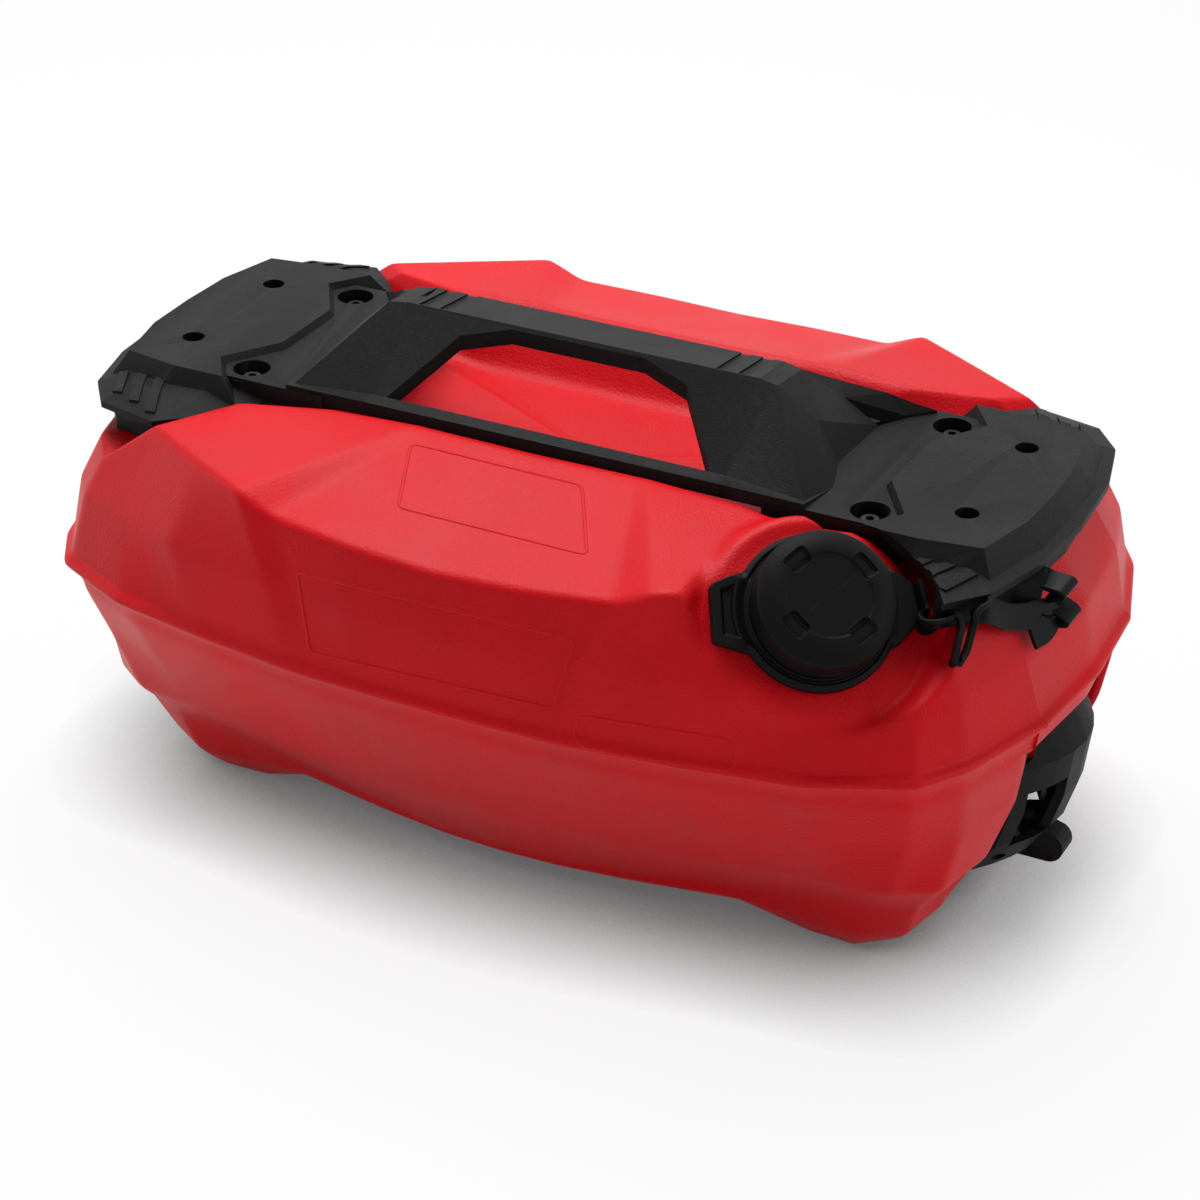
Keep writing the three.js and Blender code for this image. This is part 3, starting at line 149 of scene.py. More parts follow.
def surface(name, points, cap_start=False, cap_end=False):
    """A mesh object from an array of shape (rows, columns, 3), in metres."""
    rows, columns, _ = points.shape
    vertices = points.reshape(-1, 3)
    fans = [np.zeros((0, 3), int)]
    for wanted, row, flip in ((cap_start, 0, True), (cap_end, rows - 1, False)):
        if wanted:
            fans.append(closing_fan(row, columns, len(vertices), flip))
            vertices = np.vstack([vertices, points[row].mean(0)])
    mesh = bpy.data.meshes.new(name)
    fill_mesh(mesh, vertices, grid_faces(rows, columns), np.vstack(fans))
    work = bmesh.new()
    work.from_mesh(mesh)
    bmesh.ops.remove_doubles(work, verts=work.verts, dist=MERGE_DISTANCE)
    bmesh.ops.recalc_face_normals(work, faces=work.faces)
    work.to_mesh(mesh)
    work.free()
    mesh.shade_smooth()
    print(name, len(mesh.vertices), "points", len(mesh.polygons), "faces")
    return link_object(name, mesh)


# %% [markdown]
# ## A profile carried along a path
#
# The strap and the raised outlines are long and thin: one small profile that follows a route. A
# curve object with a bevel would do for a round cord, but it can't be told which way a flat band
# lies at each point. Here the band's own direction is given along the route, so that every fold
# turns over as it should.

# %% Curves and swept profiles
TINY = 1e-12


def unit(vectors):
    """Vectors brought to length one along their last axis: V / |V|."""
    return vectors / (np.linalg.norm(vectors, axis=-1, keepdims=True) + TINY)


def curve_through(points, steps):
    """A smooth curve through points: the Catmull-Rom cubic, so many steps to each span."""
    points = np.asarray(points, float)
    held = np.vstack([2 * points[0] - points[1], points, 2 * points[-1] - points[-2]])
    a, b, c, d = (v[:, None, :] for v in (held[:-3], held[1:-2], held[2:-1], held[3:]))
    t = (np.arange(steps) / steps)[None, :, None]
    cubic = (2 * b + (c - a) * t + (2 * a - 5 * b + 4 * c - d) * t**2
             + (3 * b - a - 3 * c + d) * t**3) / 2
    return np.vstack([cubic.reshape(-1, points.shape[1]), points[-1:]])


def swept(name, path, across, section, looped=False):
    """A profile carried along a path, in millimetres.

    At each path point with tangent T, the across direction N is made square to T, and B = T x N.
    The profile's point (u, v) lies at P + u N + v B.
    """
    if looped:
        tangent = unit(np.roll(path, -1, 0) - np.roll(path, 1, 0))
    else:
        tangent = unit(np.gradient(path, axis=0))
    across = unit(across - (across * tangent).sum(-1, keepdims=True) * tangent)
    beside = np.cross(tangent, across)
    section = np.asarray(section, float)
    grid = (path[:, None] + section[None, :, 0:1] * across[:, None]
            + section[None, :, 1:2] * beside[:, None])
    if looped:
        grid = np.vstack([grid, grid[:1]])
    return surface(name, grid * MM, cap_start=not looped, cap_end=not looped)


def join_pieces(name, parts):
    """One object from the meshes of several, which are then removed."""
    work = bmesh.new()
    for part in parts:
        work.from_mesh(part.data)
    mesh = bpy.data.meshes.new(name)
    work.to_mesh(mesh)
    work.free()
    mesh.shade_smooth()
    for part in parts:
        bpy.data.objects.remove(part)
    return link_object(name, mesh)


print("a curve through 3 points in 4 steps has", len(curve_through(np.eye(3), 4)), "points")

# %% [markdown]
# ## Shader nodes in few words
#
# A material is a tree of nodes, and each node has sockets that are set or linked. Written out line
# by line that hides what the tree does. These helpers make a node and feed its sockets in one call.

# %% Helpers for shader nodes


def feed(tree, socket, value):
    """Links another node's output to a socket, or sets a plain value on it."""
    if isinstance(value, bpy.types.NodeSocket):
        tree.links.new(value, socket)
    else:
        socket.default_value = value


def feed_all(tree, made, sockets):
    """Feeds a node's sockets. Each name is written with _ for its spaces."""
    for name, value in sockets.items():
        feed(tree, made.inputs[name.replace("_", " ")], value)
    return made


def add_node(tree, kind, **sockets):
    """A shader node of a kind, such as TexNoise or Bump, with its sockets fed."""
    return feed_all(tree, tree.nodes.new("ShaderNode" + kind), sockets)


def add_math(tree, operation, *values):
    """The result of a Math node, whose inputs are fed in their order."""
    made = tree.nodes.new("ShaderNodeMath")
    made.operation = operation
    for socket, value in zip(made.inputs, values):
        feed(tree, socket, value)
    return made.outputs[0]


def add_mix(tree, kind, factor, low, high):
    """The mix of two values or colours: low where the factor is 0 and high where it is 1."""
    made = tree.nodes.new("ShaderNodeMix")
    made.data_type = kind
    return feed_all(tree, made, {"Factor": factor, "A": low, "B": high}).outputs["Result"]


def add_group(tree, shared, **sockets):
    """A shared group placed in a material, with its own values."""
    made = tree.nodes.new("ShaderNodeGroup")
    made.node_tree = shared
    return feed_all(tree, made, sockets)


def new_group(name, inputs, outputs):
    """An empty node group with named sockets, its entry and its exit."""
    tree = bpy.data.node_groups.new(name, "ShaderNodeTree")
    for socket, kind in inputs:
        tree.interface.new_socket(socket, in_out="INPUT", socket_type=kind)
    for socket, kind in outputs:
        tree.interface.new_socket(socket, in_out="OUTPUT", socket_type=kind)
    return tree, tree.nodes.new("NodeGroupInput"), tree.nodes.new("NodeGroupOutput")


FLOAT, COLOUR, VECTOR = "NodeSocketFloat", "NodeSocketColor", "NodeSocketVector"
print("socket kinds", FLOAT, COLOUR, VECTOR)

# %% [markdown]
# ## Grain
#
# The moulds of such a can are sand-blasted, so its plastic is finely pebbled, and a blown wall is
# also a little wavy. Real bumps that small would need millions of faces. A picture could hold them,
# but a noise that is worked out from the piece's own coordinates needs no unwrapping and shows no
# seam. It turns the normal only, and every material uses it with its own size and depth.

# %% The grain's node group
WAVE_SCALE = 38.0
WAVE_RELIEF = 0.0015
PEBBLE_RELIEF = 0.0003


def grain_group():
    """A normal bumped twice: by slow waves first, and by the fine pebbles over them."""
    inputs = [("Size", FLOAT), ("Depth", FLOAT), ("Waviness", FLOAT)]
    tree, entry, leave = new_group("Grain", inputs, [("Normal", VECTOR)])
    given = entry.outputs
    place = add_node(tree, "TexCoord").outputs["Object"]
    pebbles = add_node(
        tree, "TexNoise", Vector=place, Scale=given["Size"], Detail=3.0, Roughness=0.6)
    waves = add_node(tree, "TexNoise", Vector=place, Scale=WAVE_SCALE, Detail=2.0)
    broad = add_node(
        tree, "Bump", Strength=given["Waviness"], Distance=WAVE_RELIEF,
        Height=waves.outputs["Fac"])
    fine = add_node(
        tree, "Bump", Strength=given["Depth"], Distance=PEBBLE_RELIEF,
        Height=pebbles.outputs["Fac"], Normal=broad.outputs["Normal"])
    feed(tree, leave.inputs["Normal"], fine.outputs["Normal"])
    return tree


GRAIN = grain_group()
print("group", GRAIN.name, "with", len(GRAIN.nodes), "nodes")

# %% [markdown]
# ## Wear
#
# A used can is not one flat colour. Broad patches are a shade lighter or darker and a little duller
# or shinier, and what sticks out is rubbed pale. Painting that by hand would tie it to one piece.
# This group works it out anywhere: a slow noise gives the patches, and Geometry's Pointiness, which
# is high on outward edges, gives the rubbed places, broken up by a finer noise.

# %% The wear's node group
PATCH_SCALE = 14.0
PATCH_LOW, PATCH_HIGH = 0.3, 0.7
SPECK_SCALE = 420.0
EDGE_LOW, EDGE_HIGH = 0.52, 0.62


def wear_group():
    """Patch p from -1 to 1: colour (1 + mottle p), roughness + spread p, and pale at the edges."""
    inputs = [("Colour", COLOUR), ("Worn Colour", COLOUR), ("Mottle", FLOAT), ("Edge", FLOAT),
              ("Roughness", FLOAT), ("Spread", FLOAT)]
    tree, entry, leave = new_group("Wear", inputs, [("Colour", COLOUR), ("Roughness", FLOAT)])
    given = entry.outputs
    place = add_node(tree, "TexCoord").outputs["Object"]
    patches = add_node(
        tree, "TexNoise", Vector=place, Scale=PATCH_SCALE, Detail=6.0, Roughness=0.62)
    specks = add_node(tree, "TexNoise", Vector=place, Scale=SPECK_SCALE, Detail=2.0)
    patch = add_node(
        tree, "MapRange", Value=patches.outputs["Fac"], From_Min=PATCH_LOW, From_Max=PATCH_HIGH,
        To_Min=-1.0).outputs["Result"]
    brightness = add_math(tree, "ADD", add_math(tree, "MULTIPLY", patch, given["Mottle"]), 1.0)
    tinted = add_node(tree, "HueSaturation", Color=given["Colour"], Value=brightness)
    outward = add_node(tree, "NewGeometry").outputs["Pointiness"]
    edges = add_node(
        tree, "MapRange", Value=outward, From_Min=EDGE_LOW, From_Max=EDGE_HIGH).outputs["Result"]
    broken = add_math(tree, "MULTIPLY", edges, specks.outputs["Fac"])
    rubbed = add_math(tree, "MULTIPLY", broken, given["Edge"])
    colour = add_mix(tree, "RGBA", rubbed, tinted.outputs["Color"], given["Worn Colour"])
    roughness = add_math(tree, "MULTIPLY_ADD", patch, given["Spread"], given["Roughness"])
    feed_all(tree, leave, {"Colour": colour, "Roughness": roughness})
    return tree


WEAR = wear_group()
print("group", WEAR.name, "with", len(WEAR.nodes), "nodes")

# %% [markdown]
# ## Materials
#
# The tank is red polyethylene. The deck and the latches are a hard black plastic, the cap is a
# finer one, and the tether is black rubber. Screws and pins are blackened steel, and the springs
# and inserts inside are bright steel and brass. They could be photographs of surfaces, but plain
# colours with grain and wear stay sharp from near and far. Each black is darker than it looks,
# because the white room adds its own reflection, and for that reason the specular level is low.

# %% What every material has
ROUGHNESS_SPREAD = 0.08


def material(name, colour, worn, roughness, size, depth, waviness=0.1, mottle=0.08, edge=0.25,
             metallic=0.0, specular=0.5):
    """A material that takes its colour and roughness from Wear and its normal from Grain."""
    made = bpy.data.materials.new(name)
    made.use_nodes = True
    tree = made.node_tree
    wear = add_group(
        tree, WEAR, Colour=(*colour, 1.0), Worn_Colour=(*worn, 1.0), Mottle=mottle, Edge=edge,
        Roughness=roughness, Spread=ROUGHNESS_SPREAD).outputs
    grain = add_group(tree, GRAIN, Size=size, Depth=depth, Waviness=waviness).outputs
    feed_all(tree, tree.nodes["Principled BSDF"], {
        "Base Color": wear["Colour"], "Roughness": wear["Roughness"], "Normal": grain["Normal"],
        "Metallic": metallic, "Specular IOR Level": specular})
    return made


# %% The materials, where size and depth are the grain's
RED = material(
    "red_plastic", colour=(0.63, 0.003, 0.009), worn=(0.72, 0.10, 0.10), roughness=0.40,
    size=900.0, depth=1.0, waviness=0.12, edge=0.15, specular=0.13)
BLACK = material(
    "black_plastic", colour=(0.0058, 0.0058, 0.006), worn=(0.05, 0.05, 0.05), roughness=0.48,
    size=1500.0, depth=1.0, edge=0.3, mottle=0.14, specular=0.075)
CAP_BLACK = material(
    "cap_plastic", colour=(0.0028, 0.0028, 0.003), worn=(0.03, 0.03, 0.03), roughness=0.5,
    size=2200.0, depth=0.35, edge=0.25, mottle=0.12, specular=0.07)
RUBBER = material(
    "black_rubber", colour=(0.0035, 0.0035, 0.0037), worn=(0.03, 0.03, 0.03), roughness=0.46,
    size=1800.0, depth=0.3, edge=0.25, mottle=0.12, specular=0.08)
DARK_STEEL = material(
    "black_steel", colour=(0.02, 0.02, 0.021), worn=(0.15, 0.15, 0.15), roughness=0.36,
    size=3000.0, depth=0.1, metallic=0.8, specular=0.2)
SPRING = material(
    "spring_steel", colour=(0.5, 0.5, 0.52), worn=(0.7, 0.7, 0.7), roughness=0.28,
    size=3000.0, depth=0.1, metallic=1.0)
BRASS = material(
    "brass", colour=(0.55, 0.39, 0.16), worn=(0.7, 0.55, 0.3), roughness=0.32,
    size=3000.0, depth=0.15, metallic=1.0)
SLOT_MATERIAL = {
    "red_plastic": RED,
    "black_plastic": BLACK,
    "black_rubber": RUBBER,
    "black_steel": DARK_STEEL,
    "spring_steel": SPRING,
    "brass": BRASS,
}
for name, node in nodes.items():
    node.data.materials.clear()
    node.data.materials.append(SLOT_MATERIAL[slot_of[name]])
print("materials", len(bpy.data.materials))

# %% [markdown]
# ## Telling the frame about a new piece
#
# A new piece has to move with its body, and the solids that it stands for are hidden. The strap has
# no body of its own, because it bends between two, so it is given none here.

# %% Finishing a piece


def finish_piece(made, look, body, slot, *stands_for):
    """Gives a new piece its material, its body if it has one, and hides its nodes. Slot is not used.
    """
    made.data.materials.clear()
    made.data.materials.append(look)
    if body:
        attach(made, body)
    if stands_for:
        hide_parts(*stands_for)
    return made


# %% [markdown]
# ## Hard pieces
#
# The deck, the levers, the brackets, the bails and the buttons of the strap are injection moulded,
# and a mould can't fill a sharp corner. Their solids have the right form already, so nothing is
# modelled again: a copy of the mesh has its doubled points merged, faces in one plane become one,
# and a bevel rounds the edges that remain. The bevel comes last, as a modifier, so that its width
# can be changed without building the piece anew.

# %% Bevelled pieces, with widths in millimetres
EDGE_ANGLE = math.radians(14.0)
FLAT_ANGLE = math.radians(1.0)
EDGE_SEGMENTS = 2
DECK_ROUND = 0.7
BUTTON_ROUND = 0.4
LATCH_ROUND = {"lever": 0.8, "bracket": 0.6, "bail": 0.8}


def bevelled(node_name, width, look):
    """A rounded copy of a CAD node that stands for it."""
    source = nodes[node_name]
    mesh = source.data.copy()
    made = link_object(node_name + "_skin", mesh)
    work = bmesh.new()
    work.from_mesh(mesh)
    bmesh.ops.remove_doubles(work, verts=work.verts, dist=MERGE_DISTANCE)
    bmesh.ops.dissolve_limit(work, angle_limit=FLAT_ANGLE, verts=work.verts, edges=work.edges)
    work.to_mesh(mesh)
    work.free()
    if "sharp_face" in mesh.attributes:
        mesh.attributes.remove(mesh.attributes["sharp_face"])
    mesh.shade_smooth()
    mesh.set_sharp_from_angle(angle=EDGE_ANGLE)
    round_edges = made.modifiers.new("rounding", "BEVEL")
    round_edges.width = width * MM
    round_edges.segments = EDGE_SEGMENTS
    round_edges.limit_method = "ANGLE"
    round_edges.angle_limit = EDGE_ANGLE
    round_edges.harden_normals = True
    round_edges.use_clamp_overlap = True
    print(made.name, len(mesh.polygons), "faces before its bevel")
    return finish_piece(made, look, source["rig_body"], slot_of[node_name], node_name)


bevelled("deck", DECK_ROUND, BLACK)
for button in ("tether_stud", "tether_rivet"):
    bevelled(button, BUTTON_ROUND, RUBBER)
for kind, width in LATCH_ROUND.items():
    for side in ("right", "left"):
        bevelled(side + "_latch_" + kind, width, BLACK)

# %% [markdown]
# ## The tank's skin
#
# The tank is blown: a soft tube of plastic is pressed by air against a mould, so its facets meet in
# wide soft corners. Subdividing the solid would round every corner alike and shrink the tank. Here
# rings of control points go round it at rising heights instead, one ring for each line that the eye
# follows: feet, waist, crease, belly, seam, crest and the channel round the deck. Each table is one
# quarter, from the middle of the long side to the middle of the end, as (x, y, z) in millimetres.

# %% The rings below the seam
FOOT_INNER = [
    (0, 52, 14), (24, 52, 14), (48, 52, 14), (62, 51, 14), (104, 50, 14),
    (139, 45, 0), (151, 42, 0), (160, 34, 0), (165, 24, 12), (166, 0, 14)]
BASE = [
    (0, 90, 14), (28, 88.5, 14), (56, 85.5, 14), (72, 83, 14), (108, 76.5, 14),
    (136, 65.5, 0), (157, 66, 0), (168, 56, 0), (178, 46, 8), (186, 0, 14)]
FOOT_WAIST = [
    (0, 92.5, 16), (28.5, 91.5, 16), (56, 88, 16.5), (72, 85.5, 17), (107, 79.5, 17.5),
    (138, 75.5, 12), (165, 77, 12), (181, 68, 13), (188, 46, 17), (191, 0, 19)]
CREASE = [
    (0, 94, 20), (29, 93, 20), (56, 89, 20.5), (72, 86.5, 21), (106, 81, 23),
    (140, 82, 30), (170, 83, 34), (189, 77, 35), (194, 46, 34), (196, 0, 34)]
LOWER_WALL = [
    (0, 115, 50), (30, 114, 50), (56, 112, 50), (72, 110, 50), (112, 104, 50),
    (150, 99, 50), (182, 95, 50), (201, 82, 50), (208.5, 46, 50), (212, 0, 50)]
BELLY = [
    (0, 131, 80), (30, 130.5, 80), (56, 129.5, 80), (72, 128, 80), (114, 121.5, 80),
    (157, 114, 80), (192, 101, 80), (208, 82, 80), (220, 46, 80), (226, 0, 80)]
SEAM = [
    (0, 154, 119), (30, 153.8, 119), (57, 153, 119), (68, 152, 119), (115, 145.5, 119),
    (163, 136.5, 119), (202, 118, 119), (215.5, 96, 119), (230, 50, 119), (234, 0, 119)]
print("seam half length and half depth", SEAM[-1][0], SEAM[0][1], "mm")

# %% The rings above the seam, which differ in front and behind from the crest on
UPPER_WALL = [
    (0, 149, 150), (38, 148, 151), (65, 143.5, 153), (78, 145, 153), (132, 136, 153),
    (167, 119, 151), (195, 107, 149), (208, 91, 149), (220, 53, 149), (226, 0, 149)]
CREST = [
    (0, 143, 177), (40, 141.5, 178.5), (79, 137, 180.5), (96, 136.5, 188), (125, 120, 187.5),
    (161, 99, 187), (188, 100, 166), (198, 87, 170), (208, 50, 170.5), (212, 0, 170.5)]
FRONT_LOBE = [
    (0, 57, 193), (28, 57, 193.3), (49, 57, 193.5), (54, 57, 193.5), (96, 58, 192),
    (138, 66, 189), (168, 80, 172), (188, 72, 170.5), (196, 45, 170.5), (200, 0, 170.5)]
REAR_LOBE = [
    (0, 80, 190), (38, 80, 190), (60, 81, 190), (74, 82, 190), (112, 78, 190),
    (148, 88, 188.5), (172, 88, 172), (188, 72, 170.5), (196, 45, 170.5), (200, 0, 170.5)]
FRONT_CHANNEL = [
    (0, 50, 165), (28, 50, 165), (49, 50, 165), (54, 50, 165), (90, 50, 165),
    (118, 52, 167), (140, 54, 170.5), (148, 45, 170.5), (150, 25, 170.5), (150, 0, 170.5)]
REAR_CHANNEL = [
    (0, 58, 165), (28, 58, 165), (49, 58, 165), (54, 58, 165), (90, 58, 165),
    (118, 60, 167), (140, 62, 170.5), (148, 52, 170.5), (150, 29, 170.5), (150, 0, 170.5)]
print("control points in each quarter ring", len(UPPER_WALL))

# %% [markdown]
# Four mirrored quarters make a ring. A few rings aren't listed: the poles under and over the can
# are small copies, the seam's own ring is drawn in because its lip is added later, and the ring at
# the top of the latch's recess lies on the straight wall between the belly and the seam.

# %% From quarters to whole rings
SEAM_INSET = 3.0
RECESS_TOP = 106.0
POLE_SHARE = 0.02
BOTTOM_HEIGHT = 15.0
TOP_HEIGHT = 165.0


def ring(front, rear):
    """Control columns once round the can: right front, right rear, left rear, left front."""
    f = np.array(front, float)
    r = np.array(rear, float)
    return [f * (1, -1, 1), r[::-1], r * (-1, 1, 1), f[::-1] * (-1, -1, 1)]


def inset(points, distance):
    """A ring moved in by a distance on its two plan axes: x (1 - d / X) and y (1 - d / Y)."""
    p = np.array(points, float)
    p[:, :2] *= 1 - distance / p[:, :2].max(0)
    return p


def between(low, high, height):
    """The ring at one height on the straight walls between two rings."""
    low, high = np.array(low, float), np.array(high, float)
    share = (height - low[:, 2:3]) / (high[:, 2:3] - low[:, 2:3])
    return low + share * (high - low)


def pole_ring(points, height):
    """A small flat ring round the pole under or over the can."""
    p = np.array(points, float)
    p[:, :2] *= POLE_SHARE
    p[:, 2] = height
    return p


SEAM_BASE = inset(SEAM, SEAM_INSET)
RECESS_RING = between(BELLY, SEAM_BASE, RECESS_TOP)
BOTTOM_POLE = pole_ring(FOOT_INNER, BOTTOM_HEIGHT)
TOP_POLE = pole_ring(FRONT_CHANNEL, TOP_HEIGHT)
NET = [(points, points) for points in (
    BOTTOM_POLE, FOOT_INNER, BASE, FOOT_WAIST, CREASE, LOWER_WALL, BELLY, RECESS_RING,
    SEAM_BASE, UPPER_WALL, CREST)]
NET += [(FRONT_LOBE, REAR_LOBE), (FRONT_CHANNEL, REAR_CHANNEL), (TOP_POLE, TOP_POLE)]
print("rings", len(NET))

# %% [markdown]
# Between neighbouring control points the grid is filled by straight steps. Each end of the tank has
# an upright recess for its latch. Its side walls are columns that lie on one another until their
# points are pulled back to the recess's floor, and its top wall is made of such rows. A boolean cut
# would give the same recess, but with slivers that can't be softened afterwards.

# %% The dense grid
STEPS_ALONG = [10, 10, 6, 14, 14, 13, 10, 14, 14]
STEPS_UP = [12, 12, 4, 5, 11, 11, 9, 5, 12, 14, 24, 10, 12]
WALL_STEPS = 9
RECESS_FLOOR_X = 188.0


def quarter_columns(points, steps):
    """Straight steps between one quarter's control points, without its last point."""
    parts = [
        points[k] + (points[k + 1] - points[k]) * (np.arange(n) / n)[:, None]
        for k, n in enumerate(steps)
    ]
    return np.vstack(parts)


def full_row(quarters):
    """One ring of the dense grid, and how far inside the recess each column is, from 0 to 1.

    The recess lies between the last two control points of each quarter, and the column at its
    edge is repeated for its side wall.
    """
    row = []
    inside = []
    ramp = np.arange(1, WALL_STEPS + 1) / WALL_STEPS
    for index, points in enumerate(quarters):
        towards_end = index % 2 == 0
        dense = quarter_columns(points, STEPS_ALONG if towards_end else STEPS_ALONG[::-1])
        edge = sum(STEPS_ALONG[:-1]) if towards_end else STEPS_ALONG[-1]
        wall = np.repeat(dense[edge:edge + 1], WALL_STEPS, axis=0)
        row.append(np.vstack([dense[:edge], wall, dense[edge:]]))
        before, after = np.zeros(edge), np.ones(len(dense) - edge)
        if towards_end:
            inside.append(np.concatenate([before, ramp, after]))
        else:
            inside.append(np.concatenate([1 - before, ramp[::-1], 1 - after]))
    return np.vstack(row), np.concatenate(inside)


def tank_grid():
    """The dense grid in millimetres before it is softened, and how far inside the recess it is."""
    rings = [full_row(ring(front, rear)) for front, rear in NET]
    across = rings[0][1]
    recess_row = [np.array_equal(pair[0], RECESS_RING) for pair in NET].index(True)
    rows = []
    depth = []
    for k, n in enumerate(STEPS_UP):
        low, high = rings[k][0], rings[k + 1][0]
        below = k < recess_row
        for step in range(n):
            rows.append(low + (high - low) * step / n)
            depth.append(across * float(below))
        if k == recess_row - 1:
            for step in range(WALL_STEPS + 1):
                rows.append(high.copy())
                depth.append(across * (1 - step / WALL_STEPS))
    rows.append(rings[-1][0])
    depth.append(np.zeros_like(across))
    return np.array(rows), np.array(depth)


raw, recess = tank_grid()
deep = np.minimum(np.abs(raw[:, :, 0]), RECESS_FLOOR_X)
raw[:, :, 0] = np.sign(raw[:, :, 0]) * (np.abs(raw[:, :, 0]) * (1 - recess) + deep * recess)
print("tank grid", raw.shape[:2])

# %% [markdown]
# Softening does to the grid what the blown plastic does in its mould. Each pass moves every point a
# share of the way to the mean of its four neighbours, P <- P + s (mean - P). Two passes take the
# edge off each corner and leave the facets flat. A smoothing modifier would do the same, but it
# would also soften the seam's lip and the neck's boss, which are added after this and stay crisp.

# %% Softening the corners
SOFT_PASSES, SOFT_SHARE = 2, 0.55


def soften(grid, passes, share):
    """Moves each point a share of the way to the mean of its neighbours, rows' ends held."""
    for _ in range(passes):
        around = (np.roll(grid, 1, 1) + np.roll(grid, -1, 1)) / 2
        upright = grid.copy()
        upright[1:-1] = (grid[2:] + grid[:-2]) / 2
        grid = grid + share * ((around + upright) / 2 - grid)
    return grid


skin = soften(raw, SOFT_PASSES, SOFT_SHARE)
print("furthest move in softening", np.abs(skin - raw).max().round(2), "mm")

# %% [markdown]
# ## The seam's lip
#
# The two halves of the mould meet at the widest place and leave a narrow lip there, with a shallow
# hollow band below it. It could be a separate bead, but on the real can it is the same wall. So the
# rows there are laid closer together, and each is pushed out in plan by its height h from the seam:
# out(h) = lip exp(-(h / width)^4) - band exp(-((h - middle) / half height)^2).

# %% The seam's lip
SEAM_HEIGHT = 119.5
SEAM_REACH = 30.0
SEAM_ROWS_LOW, SEAM_ROWS_HIGH, SEAM_ROWS_STEP = 110.0, 127.0, 0.8
LIP_DEPTH = 2.9
LIP_HALF_HEIGHT = 2.6
BAND_DEPTH = 1.1
BAND_MIDDLE = -9.0
BAND_HALF_HEIGHT = 5.0


def bell(value, middle, half_width):
    """A rounded hump of height one: exp(-((value - middle) / half width)^2)."""
    return np.exp(-((value - middle) / half_width) ** 2)


def insert_rows(grid, low, high, step):
    """Lays the rows between two heights of the upright walls a small step apart."""
    mean = grid[:, :, 2].mean(1)
    start = np.argmax(mean > low)
    end = np.argmax(mean > high)
    count = int(round((mean[end] - mean[start]) / step))
    old = mean[start:end + 1]
    new = np.linspace(old[0], old[-1], count)
    index = np.searchsorted(old, new, side="right").clip(1, len(old) - 1)
    share = ((new - old[index - 1]) / (old[index] - old[index - 1]))[:, None, None]
    block = grid[start:end + 1]
    fresh = block[index - 1] * (1 - share) + block[index] * share
    return np.vstack([grid[:start], fresh, grid[end + 1:]])


def push_out(grid, amount):
    """Moves points in plan, along the outward side of their row's tangent (dx, dy): (dy, -dx)."""
    flat = grid[:, :, :2]
    tangent = np.roll(flat, -1, 1) - np.roll(flat, 1, 1)
    grid = grid.copy()
    grid[:, :, :2] += unit(np.stack([tangent[:, :, 1], -tangent[:, :, 0]], -1)) * amount[:, :, None]
    return grid


skin = insert_rows(skin, SEAM_ROWS_LOW, SEAM_ROWS_HIGH, SEAM_ROWS_STEP)
rise = skin[:, :, 2] - SEAM_HEIGHT
lip = LIP_DEPTH * np.exp(-(rise / LIP_HALF_HEIGHT) ** 4)
band = BAND_DEPTH * bell(rise, BAND_MIDDLE, BAND_HALF_HEIGHT)
skin = push_out(skin, np.where(np.abs(rise) < SEAM_REACH, lip - band, 0.0))
print("half length with the lip", skin[:, :, 0].max().round(1), "mm")

# %% [markdown]
# ## The neck's boss
#
# The neck stands on a round boss that leans out of the corner, with a scoop cut above it so that
# the cap can be turned. Both are part of the blown wall, so nothing is joined on. Each point near
# the neck is moved along the neck's axis to a wanted height over its seat, and a smooth maximum
# blends that height with the wall. The axis comes from the frame, so the cap still fits its neck.

# %% Where the neck is
cap_turn = next(joint for joint in frame["joints"] if joint["name"] == "cap_turn")
NECK_CENTRE = np.array(cap_turn["pos_m"]) / MM
NECK_AXIS = unit(np.array(cap_turn["axis"]))
NECK_ACROSS = unit(np.cross([0, 0, 1], NECK_AXIS))
NECK_UP = np.cross(NECK_AXIS, NECK_ACROSS)
NECK_BASIS = np.array([NECK_ACROSS, NECK_UP, NECK_AXIS])


def to_neck(points):
    """Distance across and along the slope at the neck, and the height above its seat."""
    return np.moveaxis((points - NECK_CENTRE) @ NECK_BASIS.T, -1, 0)


def neck_point(local):
    """Points of the neck's own frame, in millimetres, in the can's frame."""
    return NECK_CENTRE + local @ NECK_BASIS


def smooth_max(a, b, width):
    """The larger of two heights, blended where they are closer than a width."""
    share = np.clip(0.5 + 0.5 * (a - b) / width, 0, 1)
    return b * (1 - share) + a * share + width * share * (1 - share)


def ease(value, low, high):
    """A smooth rise from 0 at low to 1 at high: 3 t^2 - 2 t^3."""
    t = np.clip((value - low) / (high - low), 0, 1)
    return t * t * (3 - 2 * t)


print("neck at", NECK_CENTRE.round(1), "mm along", NECK_AXIS.round(3))

# %% The boss, its bead and groove, and the scoop
BOSS_RADIUS = 44.0
BOSS_ROUND = 7.0
BOSS_FALL = 4.0
BOSS_BEAD_AT, BOSS_BEAD_HEIGHT, BOSS_BEAD_HALF = 40.0, 1.1, 2.6
BOSS_GROOVE_AT, BOSS_GROOVE_DEPTH, BOSS_GROOVE_HALF = 35.5, 0.8, 1.8
BOSS_BLEND = 9.0
BOSS_REACH = 80.0
BOSS_LOW, BOSS_HIGH = -45.0, 40.0
SCOOP_RADIUS = 47.0
SCOOP_FLOOR = 0.6
SCOOP_RUN = 0.7
SCOOP_BLEND = 6.0
STRETCH_FROM, STRETCH_TO = 14.0, 24.0
STRETCH_PASSES, STRETCH_SHARE = 3, 0.6


